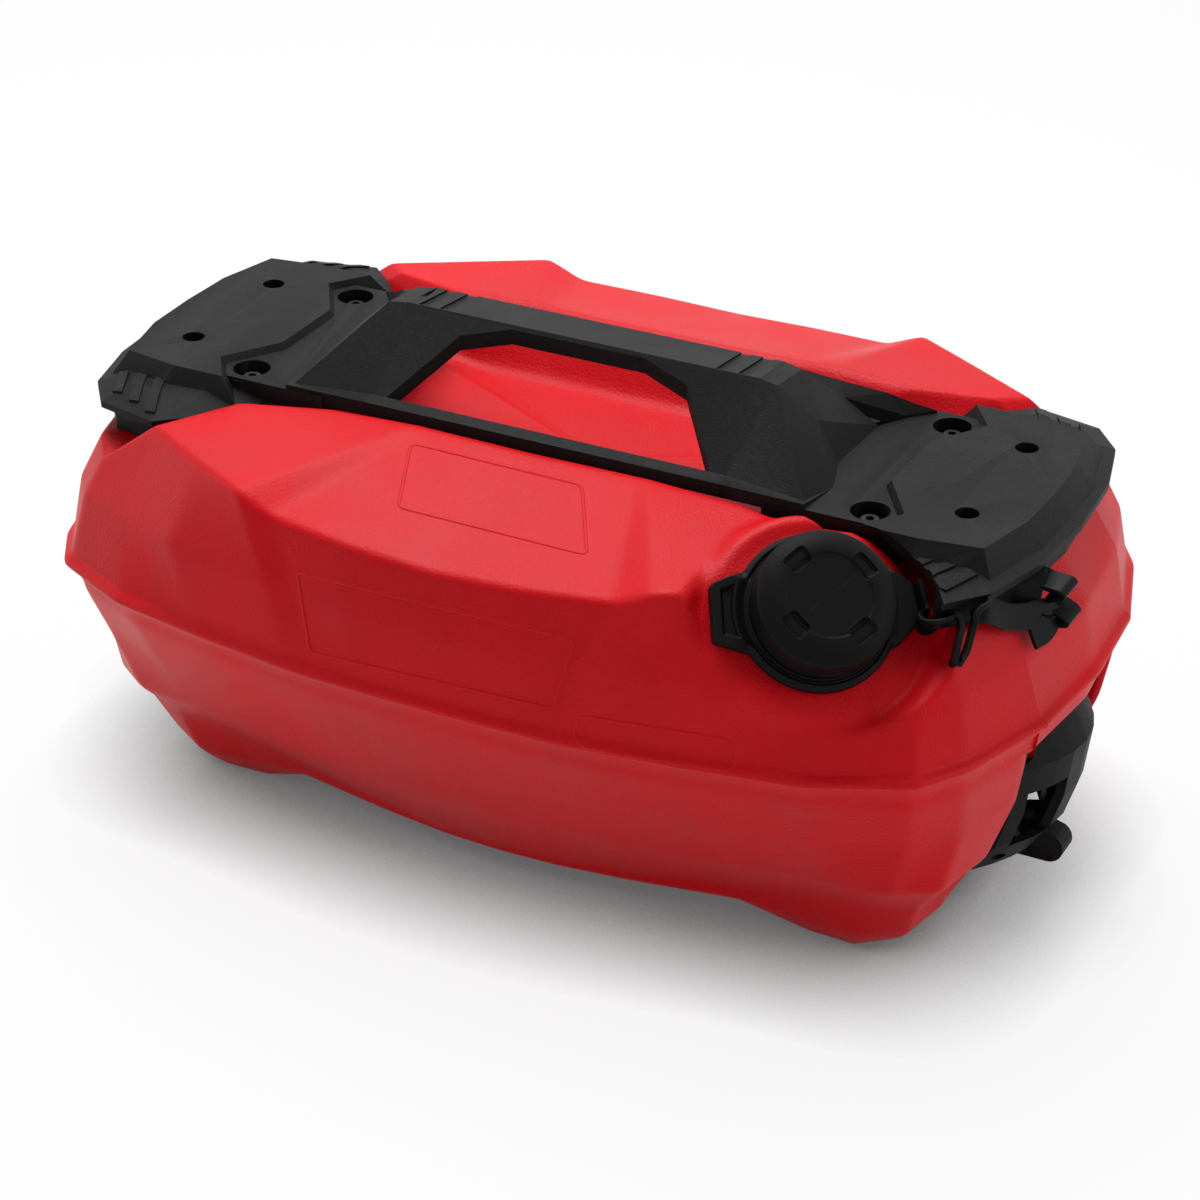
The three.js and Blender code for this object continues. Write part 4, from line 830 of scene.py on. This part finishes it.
def boss_height(radius):
    """The boss over the seat: flat, a quarter round at its edge, then a steep fall."""
    edge = np.clip(radius - (BOSS_RADIUS - BOSS_ROUND), 0, None)
    quarter = BOSS_ROUND - np.sqrt(np.clip(BOSS_ROUND**2 - edge**2, 0, None))
    fall = BOSS_ROUND + (edge - BOSS_ROUND) * BOSS_FALL
    bead = BOSS_BEAD_HEIGHT * bell(radius, BOSS_BEAD_AT, BOSS_BEAD_HALF)
    groove = BOSS_GROOVE_DEPTH * bell(radius, BOSS_GROOVE_AT, BOSS_GROOVE_HALF)
    return bead - groove - np.where(edge < BOSS_ROUND, quarter, fall)


def add_boss(grid):
    """Raises the skin to the boss and lowers it to the scoop, whose wall rises 1 in SCOOP_RUN.

    Where the skin is pulled far, its stretched points are softened again.
    """
    across, up, height = to_neck(grid)
    radius = np.hypot(across, up)
    near = (radius < BOSS_REACH) & (height > BOSS_LOW) & (height < BOSS_HIGH)
    raised = smooth_max(boss_height(radius), height, BOSS_BLEND)
    scoop = np.clip((radius - SCOOP_RADIUS) / SCOOP_RUN, 0, None) + SCOOP_FLOOR
    lowered = -smooth_max(-scoop, -raised, SCOOP_BLEND)
    change = np.where(near, lowered - height, 0.0)
    moved = grid + change[:, :, None] * NECK_AXIS
    stretched = ease(change, STRETCH_FROM, STRETCH_TO)[:, :, None]
    return moved + stretched * (soften(moved, STRETCH_PASSES, STRETCH_SHARE) - moved)


skin = add_boss(skin)
tank_skin = surface("tank_skin", skin * MM, cap_start=True, cap_end=True)
finish_piece(tank_skin, RED, "can", "red_plastic", "tank")

# %% [markdown]
# ## The neck
#
# A short red tube with a low collar at its foot stands on the boss under the cap, and it shows once
# the cap is up. A cylinder with a bevel would nearly do. A turned profile says the tube, its lip and
# its collar in one list: P(a, k) = C + r_k cos a U + r_k sin a V + h_k W, for the radii r_k and the
# heights h_k of a profile, with the neck's centre C and its three directions U, V and W.

# %% The turned neck, with its profile as (radius, height) in millimetres
NECK_COLUMNS = 96
NECK_PROFILE = [
    (18, -20), (18, 17), (18.5, 17.5), (21.5, 17.5), (22, 17), (22, 0.6),
    (22.8, 0.1), (24, -0.4), (30, -0.6), (30, -20), (18, -20)]


def full_turn(columns):
    """Angles once round, without the last, which is the first again."""
    return np.arange(columns) * 2 * math.pi / columns


def round_neck(radius, height, angle):
    """Points of the can's frame from a radius and a height for each row and angle."""
    local = np.stack([radius * np.cos(angle), radius * np.sin(angle), height], -1)
    return neck_point(local)


angle = full_turn(NECK_COLUMNS)
profile = np.array(NECK_PROFILE, float)[:, :, None] + 0 * angle
neck = surface("neck", round_neck(profile[:, 0], profile[:, 1], angle) * MM)
finish_piece(neck, RED, "can", "red_plastic")

# %% [markdown]
# ## The screw cap
#
# The cap's face is a flat disc with a raised step round it, four shallow finger pockets across that
# step, and a shoulder that falls away to a round edge. Boolean cuts would make the pockets quickly,
# but they would leave creases, so the whole cap is one polar grid: the height over the seat is a
# function of radius and angle, top(r) = disc + step at the disc's edge - drop (r - r1)^2. A
# pocket's depth is taken off where m < 1, with m^6 = (radial / a)^6 + (tangential / b)^6 from the
# pocket's middle: a rectangle with round corners. A fine rim follows it just outside.

# %% The cap's face
CAP_DISC_TOP = 27.4
CAP_STEP = 0.6
CAP_STEP_FROM, CAP_STEP_TO = 16.8, 17.6
CAP_DROP = 0.045
CAP_DROP_FROM = 17.8
CAP_SHOULDER = 27.0
POCKET_AT = 18.5
POCKET_HALF = (3.7, 5.2)
POCKET_WIDENING = (0.72, 0.015)
POCKET_POWER = 6
POCKET_DEPTH = 1.7
POCKET_FLOOR_SHARE = 0.84
POCKET_TURN = 32.0
RIM_HEIGHT, RIM_AT_SHARE, RIM_HALF_SHARE = 0.22, 1.06, 0.05


def pocket_distance(radius, angle):
    """How far out from a pocket's middle a point is: 0 there, and 1 on the pocket's outline."""
    quarter = np.radians((np.degrees(angle) - POCKET_TURN + 45) % 90 - 45)
    radial = (radius * np.cos(quarter) - POCKET_AT) / POCKET_HALF[0]
    half_width = POCKET_HALF[1] * (POCKET_WIDENING[0] + POCKET_WIDENING[1] * radius)
    tangential = radius * np.sin(quarter) / half_width
    return (radial**POCKET_POWER + tangential**POCKET_POWER) ** (1 / POCKET_POWER)


def cap_top(radius, angle):
    """The height of the cap's face over the seat: disc + step - drop - pocket + rim."""
    height = CAP_DISC_TOP + CAP_STEP * ease(radius, CAP_STEP_FROM, CAP_STEP_TO)
    height = height - CAP_DROP * np.clip(radius - CAP_DROP_FROM, 0, None) ** 2
    inside = pocket_distance(radius, angle)
    rim = RIM_HEIGHT * bell(inside, RIM_AT_SHARE, RIM_HALF_SHARE) * (radius < CAP_SHOULDER)
    return height - POCKET_DEPTH * ease(-inside, -1.0, -POCKET_FLOOR_SHARE) + rim


print("cap's face at its middle", cap_top(np.zeros(1), np.zeros(1)).round(2), "mm over the seat")

# %% [markdown]
# The rest of the cap continues the same rows: a round edge that starts at the shoulder's own slope,
# the side with its small raised bar, the foot, and the hollow that fits over the core.

# %% The whole cap
CAP_COLUMNS = 240
CAP_RADIUS = 28.0
CAP_FOOT = 9.5
CAP_FOOT_ROUND = 0.5
CAP_INNER = 25.6
CAP_ROOF = 24.8
CAP_HUB = 0.3
CAP_HUB_ROWS, CAP_FACE_ROWS, CAP_ROUND_ROWS, CAP_SIDE_ROWS = 14, 56, 9, 30
CAP_PLAIN_TO, CAP_DETAIL_FROM = 12.0, 12.3
CAP_SIDE_FIRST_SHARE = 0.02
BAR_LOW, BAR_HIGH, BAR_HALF = 11.4, 13.2, 6.5
BAR_PROUD = 0.5
BAR_SLOPE, BAR_END_SLOPE = 0.3, 0.5


def bar_share(angle, height):
    """One on the raised bar at the cap's front, easing to zero at its edges."""
    from_front = (angle + 1.5 * math.pi) % (2 * math.pi) - math.pi
    across = BAR_HALF - np.abs(CAP_RADIUS * from_front)
    return (ease(across, 0, BAR_END_SLOPE) * ease(height, BAR_LOW - BAR_SLOPE, BAR_LOW)
            * ease(-height, -BAR_HIGH - BAR_SLOPE, -BAR_HIGH))


def cap_grid():
    """The cap's points: its face, its round edge, its side, its foot and its hollow inside."""
    angle = full_turn(CAP_COLUMNS)
    face = np.concatenate([np.linspace(CAP_HUB, CAP_PLAIN_TO, CAP_HUB_ROWS),
                           np.linspace(CAP_DETAIL_FROM, CAP_SHOULDER, CAP_FACE_ROWS)])
    face_r = face[:, None] + 0 * angle
    face_h = cap_top(face_r, angle[None, :])
    slope = math.atan(2 * CAP_DROP * (CAP_SHOULDER - CAP_DROP_FROM))
    edge_radius = (CAP_RADIUS - CAP_SHOULDER) / (1 - math.sin(slope))
    turn = np.linspace(slope, math.pi / 2, CAP_ROUND_ROWS)[1:, None]
    round_r = CAP_SHOULDER + edge_radius * (np.sin(turn) - math.sin(slope)) + 0 * angle
    round_h = face_h[-1:] + edge_radius * (np.cos(turn) - math.cos(slope))
    side = np.linspace(CAP_SIDE_FIRST_SHARE, 1, CAP_SIDE_ROWS)[:, None]
    side_h = round_h[-1:] * (1 - side) + (CAP_FOOT + CAP_FOOT_ROUND) * side
    side_r = CAP_RADIUS + BAR_PROUD * bar_share(angle, side_h)
    hollow = np.array([(CAP_RADIUS - CAP_FOOT_ROUND, CAP_FOOT), (CAP_INNER, CAP_FOOT),
                       (CAP_INNER, CAP_ROOF), (CAP_HUB, CAP_ROOF)])[:, :, None] + 0 * angle
    radius = np.vstack([face_r, round_r, side_r, hollow[:, 0]])
    height = np.vstack([face_h, round_h, side_h, hollow[:, 1]])
    return round_neck(radius, height, angle)


cap_skin = surface("cap_shell_skin", cap_grid() * MM, cap_start=True, cap_end=True)
finish_piece(cap_skin, CAP_BLACK, "cap", slot_of["cap_shell"], "cap_shell")

# %% [markdown]
# ## The tether's ring, its pull tab and its lug
#
# The rubber ring lies under the cap. It is seen as a flange with a groove inside its rim, and it
# reaches out to a six-sided pull tab with a thumb pad, and to a lug for the strap on the other
# side. It could be a disc joined to two plates, but rubber has no creases where they meet. Seen
# along the neck every ray from the middle leaves the outline once, so the outline is one function
# R(a): the furthest of the round rim and of the two polygons. Rows go from the bore out to R(a).

# %% The ring's outline, with corners as (across, up) in millimetres round the neck
RING_COLUMNS = 360
RING_BORE = 23.2
RING_RIM = 32.4
TAB = np.array([
    (-19.8, 22.0), (-40.5, 16.3), (-43.6, -6.8), (-29.0, -13.2), (-13.2, -17.6), (-4.4, 8.8)])
LUG = np.array([
    (12.2, -22.0), (30.0, -17.5), (37.5, -12.0), (40.7, -6.1), (40.7, 6.1), (32.0, 14.2),
    (14.0, 22.0)])
OUTLINE_PASSES = 2


def polygon_reach(polygon, angle):
    """How far the polygon reaches from the middle along each angle.

    A ray h meets the edge from s along e at the distance (s x e) / (h x e).
    """
    heading = np.stack([np.cos(angle), np.sin(angle)], -1)[:, None, :]
    start = polygon[None]
    edge = np.roll(polygon, -1, 0)[None] - start
    turn = heading[..., 0] * edge[..., 1] - heading[..., 1] * edge[..., 0]
    reach = (start[..., 0] * edge[..., 1] - start[..., 1] * edge[..., 0]) / turn
    share = (start[..., 0] * heading[..., 1] - start[..., 1] * heading[..., 0]) / turn
    return np.where((share >= 0) & (share <= 1) & (reach > 0), reach, 0).max(1)


def signed_area(polygon):
    """Twice the polygon's area, positive where its corners run anticlockwise."""
    following = np.roll(polygon, -1, 0)
    return (polygon[:, 0] * following[:, 1] - polygon[:, 1] * following[:, 0]).sum()


def edge_distance(polygon, x, y):
    """The distance inside a polygon's nearest edge line, counted positive inside."""
    edge = unit(np.roll(polygon, -1, 0) - polygon)
    away_x = x[..., None] - polygon[:, 0]
    away_y = y[..., None] - polygon[:, 1]
    side = edge[:, 0] * away_y - edge[:, 1] * away_x
    return (side * np.sign(signed_area(polygon))).min(-1)


ring_angle = full_turn(RING_COLUMNS)
ring_reach = np.maximum(polygon_reach(TAB, ring_angle), polygon_reach(LUG, ring_angle))
ring_reach = np.maximum(ring_reach, RING_RIM)
for _ in range(OUTLINE_PASSES):
    ring_reach = (np.roll(ring_reach, 1) + 2 * ring_reach + np.roll(ring_reach, -1)) / 4
print("the ring reaches", ring_reach.min().round(1), "to", ring_reach.max().round(1), "mm")

# %% The ring's surface
RING_FOOT = 2.5
RING_TOP = 8.0
RING_EDGE = 0.9
RING_FOOT_ROUND = 0.5
GROOVE_PROFILE = np.array([
    (23.2, 8.0), (28.2, 8.0), (28.8, 6.1), (29.4, 6.0), (30.2, 6.8), (31.2, 6.5), (32.4, 5.4)])
PLATE_PROFILE = np.array([(28.2, 8.0), (28.9, 6.9), (29.8, 6.9), (33.0, RING_TOP)])
PLATE_FROM, PLATE_TO = 0.6, 4.5
PAD_INSET = 3.6
PAD_DEPTH = 1.7
PAD_FROM = 33.6
PAD_SLOPE = 1.3
RING_TOP_ROWS, RING_EDGE_ROWS, RING_WALL_ROWS = 60, 5, 5
RING_WALL_FIRST_SHARE = 0.2


def ring_top(radius, reach, angle):
    """The height of the ring's top: a groove and rim, or a plate where the tab and lug are."""
    plate = ease(reach, RING_RIM + PLATE_FROM, RING_RIM + PLATE_TO)
    grooved = np.interp(radius, GROOVE_PROFILE[:, 0], GROOVE_PROFILE[:, 1])
    flat = np.interp(radius, PLATE_PROFILE[:, 0], PLATE_PROFILE[:, 1])
    inside = edge_distance(TAB, radius * np.cos(angle), radius * np.sin(angle))
    pad = ease(inside, PAD_INSET, PAD_INSET + PAD_SLOPE)
    pad = pad * ease(radius, PAD_FROM, PAD_FROM + PAD_SLOPE)
    return grooved * (1 - plate) + flat * plate - PAD_DEPTH * pad


def tether_grid(reach, angle):
    """The ring's points: over the top from the bore, round the rim, down its wall and back."""
    share = np.linspace(0, 1, RING_TOP_ROWS)[:, None]
    top_r = RING_BORE + share * (reach - RING_EDGE - RING_BORE)
    top_h = ring_top(top_r, reach, angle)
    turn = np.linspace(0, math.pi / 2, RING_EDGE_ROWS)[1:, None]
    round_r = reach - RING_EDGE + RING_EDGE * np.sin(turn)
    round_h = top_h[-1:] - RING_EDGE + RING_EDGE * np.cos(turn)
    down = np.linspace(RING_WALL_FIRST_SHARE, 1, RING_WALL_ROWS)[:, None]
    wall_h = round_h[-1:] + (RING_FOOT + RING_FOOT_ROUND - round_h[-1:]) * down
    wall_r = reach + 0 * wall_h
    foot_r = np.vstack([reach - RING_FOOT_ROUND, RING_BORE + 0 * reach])
    foot_h = RING_FOOT + 0 * foot_r
    radius = np.vstack([top_r, round_r, wall_r, foot_r, top_r[:1]])
    height = np.vstack([top_h, round_h, wall_h, foot_h, top_h[:1]])
    return round_neck(radius, height, angle)


tether_skin = surface("tether_ring_skin", tether_grid(ring_reach, ring_angle) * MM)
finish_piece(tether_skin, RUBBER, "tether", slot_of["tether_ring"], "tether_ring")

# %% [markdown]
# ## The camera's axes
#
# The photograph was taken from the right front, a little from above. The direction of a camera can
# be set by eye, but here its place and lens were worked out from pairs of points that mirror each
# other at the can's two ends, and from its level seam. Its three axes are needed before the lights,
# because the strap's folds and the panels' outlines are easiest to say as they are seen: so far
# right, so far up and so far towards the camera.

# %% The camera's axes
AZIMUTH = math.radians(27.47)
ELEVATION = math.radians(28.95)
FOCAL_PIXELS = 3284.0
FRAME_PIXELS = 1200.0
SIGHT = np.array([1.76, -89.92, 1408.0])
SIGHT_HEIGHT = 197.0
VIEW_RIGHT = np.array([math.cos(AZIMUTH), math.sin(AZIMUTH), 0.0])
VIEW_BACK = np.array([
    math.sin(AZIMUTH) * math.cos(ELEVATION),
    -math.cos(AZIMUTH) * math.cos(ELEVATION),
    math.sin(ELEVATION)])
VIEW_UP = np.cross(VIEW_BACK, VIEW_RIGHT)
VIEW_AXES = np.array([VIEW_RIGHT, VIEW_UP, VIEW_BACK])
VIEW_PLACE = SIGHT @ VIEW_AXES + np.array([0, 0, SIGHT_HEIGHT])
print("camera at", VIEW_PLACE.round(1), "mm")

# %% [markdown]
# ## The strap
#
# The strap is a flat rubber band that is folded over itself because it is longer than its span. It
# leaves the lug, dips into a narrow loop, waves across to the deck's corner and goes up to its
# rivet through several folds. A cloth simulation would fold it too, but not as the photograph
# shows, so the route is given through a few points and a smooth curve does the rest.
#
# At each point of a run a letter tells which way the band's width lies: along the neck (n), towards
# the camera (b), up (u) or to the right (r) as seen, or across the slanted folds (w). The strap is
# three runs, because it shows as three stretches that cross, and they are joined into one piece.

# %% The strap's profile and directions
STRAP_WIDTH = 11.0
STRAP_THICKNESS = 2.2
STRAP_CORNER = 0.35
FOLD_WIDTH_WAY = unit(np.array([0.80, 0.85, -0.82]))
FOLD_ALONG = unit(np.array([1.40, -0.35, 1.00]))
FOLD_PLANE = np.array([FOLD_ALONG, np.cross(FOLD_WIDTH_WAY, FOLD_ALONG)])
LIES = {
    "n": NECK_AXIS, "b": VIEW_BACK, "u": VIEW_UP, "r": VIEW_RIGHT,
    "w": FOLD_WIDTH_WAY @ VIEW_AXES}


def flat_band(width, thickness, corner):
    """The outline of a flat band with its four corners cut off at a slant."""
    w, t = width / 2, thickness / 2
    return [(-w + corner, -t), (w - corner, -t), (w, -t + corner), (w, t - corner),
            (w - corner, t), (-w + corner, t), (-w, t - corner), (-w, -t + corner)]


STRAP_SECTION = flat_band(STRAP_WIDTH, STRAP_THICKNESS, STRAP_CORNER)
print("strap profile", len(STRAP_SECTION), "points")

# %% The strap's route, given point by point
EYE_REACH = 42.0
EYE_HALF = 6.0
EYE_LEAN = 0.3
EYE_LEVEL = 7.25
EYE = neck_point(np.array([
    [EYE_REACH, EYE_HALF, EYE_LEVEL],
    [EYE_REACH, 0.0, EYE_LEVEL],
    [EYE_REACH + EYE_LEAN, -EYE_HALF, EYE_LEVEL]]))
LOOP_AND_WAVES = [
    (187.5, -82.5, 172.6), (194.6, -84.0, 175.8), (200.4, -81.5, 177.6), (203.0, -83.6, 175.0),
    (204.0, -88.6, 171.0), (205.2, -94.0, 164.8), (207.2, -88.5, 167.2), (207.0, -81.0, 175.0),
    (207.9, -79.3, 181.6), (210.3, -71.5, 178.2), (213.4, -60.7, 171.0), (217.3, -50.3, 167.0),
    (220.6, -41.9, 165.8), (223.6, -38.8, 162.6), (223.0, -44.0, 159.4), (220.4, -50.0, 158.4)]
RIVET = np.array([213.6, -33.0, 176.5])
TO_RIVET = [
    (-0.6, 3.6, 5.0), (-1.4, 0.0, 6.5), (-2.4, -4.0, 6.8), (-3.9, -10.0, 5.5), (-4.6, -14.0, 4.0)]
FOLD_START = np.array([2.0, -1.5, 2.0])
FOLDS = np.array([
    (-3, -2), (5, 0), (11.5, 0.6), (13.2, 2.2), (11.0, 4.0), (5.0, 6.6), (3.4, 9.0),
    (6.0, 11.4), (11.0, 14.4), (12.4, 16.4), (10.4, 17.8), (3.0, 18.6), (-2.0, 18.0)])


def from_rivet(steps):
    """Points at steps to the right, up and towards the camera from the strap's rivet."""
    return RIVET + np.array(steps) @ VIEW_AXES


STRAP_RUNS = [
    (np.vstack([EYE, LOOP_AND_WAVES]), "nnn" "nbbbbbbbb" "uuuuuuu"),
    (from_rivet(TO_RIVET), "rrrrr"),
    (from_rivet(FOLDS @ FOLD_PLANE + FOLD_START), "w" * len(FOLDS)),
]
print("strap points", [len(route) for route, _ in STRAP_RUNS])

# %% The strap, swept along its three runs
STRAP_STEPS = 9
STRAP_SHARP = math.radians(40)
strap_length = 0.0
bands = []
for number, (route, lies) in enumerate(STRAP_RUNS):
    path = curve_through(route, STRAP_STEPS)
    width_way = curve_through(np.array([LIES[letter] for letter in lies]), STRAP_STEPS)
    bands.append(swept("band_" + str(number), path, width_way, STRAP_SECTION))
    strap_length += np.linalg.norm(np.diff(path, axis=0), axis=1).sum()
strap = join_pieces("tether_strap_skin", bands)
strap.data.set_sharp_from_angle(angle=STRAP_SHARP)
finish_piece(strap, RUBBER, None, slot_of["tether_strap"], "tether_strap")
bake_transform(strap)
print("strap length", round(strap_length), "mm")

# %% [markdown]
# ## The panels' outlines
#
# The tank's front and top carry low raised outlines, a few tenths of a millimetre proud. A bump
# in the material would not stand out at the edge, and the skin's own grid is too coarse for a line
# of 1.5 mm. So each is a thin rounded bead that follows the skin. Its corners are given as pixels
# of the picture, rays from the camera find them on the skin, and the bead runs along between them.

# %% From the picture to the skin
skin_tree = BVHTree.FromObject(tank_skin, bpy.context.evaluated_depsgraph_get())


def cast_pixels(pixels):
    """Points and outward directions of the skin, in millimetres, under pixels of the picture.

    The ray through a pixel runs along (x / f) right - (y / f) up - back, from the frame's middle.
    """
    across = (pixels[:, 0:1] - FRAME_PIXELS / 2) / FOCAL_PIXELS
    down = (pixels[:, 1:2] - FRAME_PIXELS / 2) / FOCAL_PIXELS
    headings = across * VIEW_RIGHT - down * VIEW_UP - VIEW_BACK
    start = Vector(VIEW_PLACE * MM)
    hits = [skin_tree.ray_cast(start, Vector(heading).normalized()) for heading in headings]
    return np.array([hit[0] for hit in hits]) / MM, np.array([hit[1] for hit in hits])


middle_point, _ = cast_pixels(np.full((1, 2), FRAME_PIXELS / 2))
print("skin under the picture's middle", middle_point.round(1), "mm")

# %% Raised outlines on the skin
BEAD_HALF = 0.75
BEAD_PROUD = 0.35
BEAD_SIDES = 10
BEAD_STEP_PIXELS = 4.0
BEAD_TURN_PASSES = 3
CORNER_STEPS = 7
PANEL_OUTLINES = {
    "front_panel_outline": ([(297, 572), (575, 640), (553, 709), (310, 652)], 6),
    "top_panel_outline": ([(411, 443), (582, 485), (587, 555), (398, 507)], 6),
    "front_pill_outline": ([(575, 715), (735, 741), (735, 772), (575, 746)], 15),
}


def rounded_corners(corners, rounding):
    """Each corner C replaced by the curve A (1 - t)^2 + 2 C t (1 - t) + B t^2 between its sides.

    A and B lie a rounding away from the corner, towards the corners before and after it.
    """
    corners = np.array(corners, float)
    first = corners + rounding * unit(np.roll(corners, 1, 0) - corners)
    last = corners + rounding * unit(np.roll(corners, -1, 0) - corners)
    t = np.linspace(0, 1, CORNER_STEPS)[:, None, None]
    arcs = first * (1 - t) ** 2 + 2 * corners * t * (1 - t) + last * t**2
    return arcs.transpose(1, 0, 2).reshape(-1, 2)


def even_steps(outline, step):
    """Points about a step apart along a closed outline."""
    closed = np.vstack([outline, outline[:1]])
    run = np.concatenate([[0], np.cumsum(np.linalg.norm(np.diff(closed, axis=0), axis=1))])
    places = np.linspace(0, run[-1], int(run[-1] / step), endpoint=False)
    return np.stack([np.interp(places, run, closed[:, k]) for k in (0, 1)], -1)


def outline_bead(name, corners, rounding):
    """A closed bead round a panel whose corners and rounding are given in pixels."""
    points, outward = cast_pixels(even_steps(rounded_corners(corners, rounding), BEAD_STEP_PIXELS))
    for _ in range(BEAD_TURN_PASSES):
        outward = unit(np.roll(outward, 1, 0) + outward + np.roll(outward, -1, 0))
    around = full_turn(BEAD_SIDES)
    section = np.stack([BEAD_PROUD * np.cos(around), BEAD_HALF * np.sin(around)], -1)
    made = swept(name, points, outward, section, looped=True)
    return finish_piece(made, RED, "can", "red_plastic")


for name, (corners, rounding) in PANEL_OUTLINES.items():
    outline_bead(name, corners, rounding)

# %% [markdown]
# ## The floor and the white room
#
# A product photograph hides the room: the ground is plain white, with only a soft shade close round
# the object. More light would whiten the floor, but it would bleach the can as well. So the floor
# and the world are asked what looks at them. Light Path tells rays that are seen, directly, in a
# reflection or through something, and these meet plain white. The rays that only carry light meet a
# pale floor and a dim white world, so the can is lit at a plain level.

# %% The floor
FLOOR_HALF = 20.0
FLOOR_COLOUR = (0.85, 0.85, 0.85, 1.0)
SHADE_REACH = 0.065
SHADE_SAMPLES = 8
SHADE_LOW, SHADE_HIGH = 0.25, 0.95
SHADE_DARKEST = 0.12
WHITE_SHARE = 0.88


def seen_rays(tree):
    """Light Path's camera, glossy and transmission rays together, as one value of 0 or 1."""
    path = add_node(tree, "LightPath").outputs
    both = add_math(tree, "MAXIMUM", path["Is Camera Ray"], path["Is Glossy Ray"])
    return add_math(tree, "MAXIMUM", both, path["Is Transmission Ray"])


def floor_material():
    """Pale for light. Seen, it is white but for the shade, worked out from how open a place is."""
    look = bpy.data.materials.new("floor")
    look.use_nodes = True
    tree = look.node_tree
    tree.nodes.remove(tree.nodes["Principled BSDF"])
    pale = add_node(tree, "BsdfDiffuse", Color=FLOOR_COLOUR)
    openness = add_node(tree, "AmbientOcclusion", Distance=SHADE_REACH)
    openness.samples = SHADE_SAMPLES
    level = add_node(
        tree, "MapRange", Value=openness.outputs["AO"], From_Min=SHADE_LOW, From_Max=SHADE_HIGH,
        To_Min=SHADE_DARKEST)
    white = add_node(tree, "Emission", Strength=level.outputs["Result"])
    mix = tree.nodes.new("ShaderNodeMixShader")
    share = add_math(tree, "MULTIPLY", seen_rays(tree), WHITE_SHARE)
    for socket, value in zip(mix.inputs, (share, pale.outputs[0], white.outputs[0])):
        feed(tree, socket, value)
    feed(tree, tree.nodes["Material Output"].inputs["Surface"], mix.outputs[0])
    return look


def floor():
    """A wide square on the ground, as stage and not as a piece of the can."""
    mesh = bpy.data.meshes.new("floor")
    square = ((-1, -1), (1, -1), (1, 1), (-1, 1))
    corners = [(x * FLOOR_HALF, y * FLOOR_HALF, 0.0) for x, y in square]
    mesh.from_pydata(corners, [], [(0, 1, 2, 3)])
    mesh.materials.append(floor_material())
    made = link_object("floor", mesh)
    return made


ground = floor()
print("floor", tuple(ground.dimensions), "metres")

# %% The white world
WORLD_LIGHT = 0.16
WORLD_SEEN = 1.0


def white_world():
    """Dim white all round for light, and plain white for rays that are seen past the floor."""
    world = bpy.data.worlds.new("studio")
    world.use_nodes = True
    tree = world.node_tree
    strength = add_mix(tree, "FLOAT", seen_rays(tree), WORLD_LIGHT, WORLD_SEEN)
    feed_all(tree, tree.nodes["Background"], {"Color": (1.0, 1.0, 1.0, 1.0), "Strength": strength})
    bpy.context.scene.world = world


white_world()
print("world", bpy.context.scene.world.name)

# %% [markdown]
# ## Lamps and camera
#
# The photograph has soft studio light: a large lamp above and behind gives the deck and the crest
# their sheen, a rim light at each end lifts the edges, and a weak one in front keeps the black
# pieces readable. Point lamps would give hard shadows, so all four are square area lights more than
# a metre wide. The camera is placed by its matrix, whose columns are its right, its up, its
# backward direction and its place, so that it stands exactly where the photograph's stood.

# %% The lamps, with place, target and size in metres and power in watts
LAMPS = {
    "key": ((-0.4, 0.5, 1.7), (0.0, 0.0, 0.15), 1.2, 34.0),
    "right_rim": ((1.8, 0.2, 0.8), (0.0, 0.0, 0.1), 1.2, 10.0),
    "left_rim": ((-1.8, -0.6, 0.7), (0.0, 0.0, 0.1), 1.2, 6.0),
    "front_fill": ((0.6, -2.2, 1.0), (0.0, 0.0, 0.1), 1.6, 5.5),
}


def area_light(name, place, target, size, power):
    """A soft square light at a place, turned to a target."""
    data = bpy.data.lights.new(name, "AREA")
    data.shape = "SQUARE"
    data.size = size
    data.energy = power
    made = link_object(name, data)
    made.location = place
    away = Vector(place) - Vector(target)
    made.rotation_euler = away.to_track_quat("Z", "Y").to_euler()
    return made


for name, settings in LAMPS.items():
    area_light(name, *settings)
print("lamps", len(bpy.data.lights))

# %% The camera
SENSOR_MM = 36.0
CLIP_END = 20.0


def aim_camera():
    """Puts the camera where the photograph's was. Its lens is focal pixels / frame x sensor."""
    data = bpy.data.cameras.new("camera")
    data.sensor_width = SENSOR_MM
    data.lens = FOCAL_PIXELS / FRAME_PIXELS * SENSOR_MM
    data.clip_end = CLIP_END
    made = link_object("camera", data)
    turn = np.eye(4)
    turn[:3] = np.column_stack([VIEW_AXES.T, VIEW_PLACE * MM])
    made.matrix_world = Matrix(turn.tolist())
    bpy.context.scene.camera = made
    return made


camera = aim_camera()
bpy.context.scene.view_settings.view_transform = "Standard"
print("lens", round(camera.data.lens, 1), "mm")
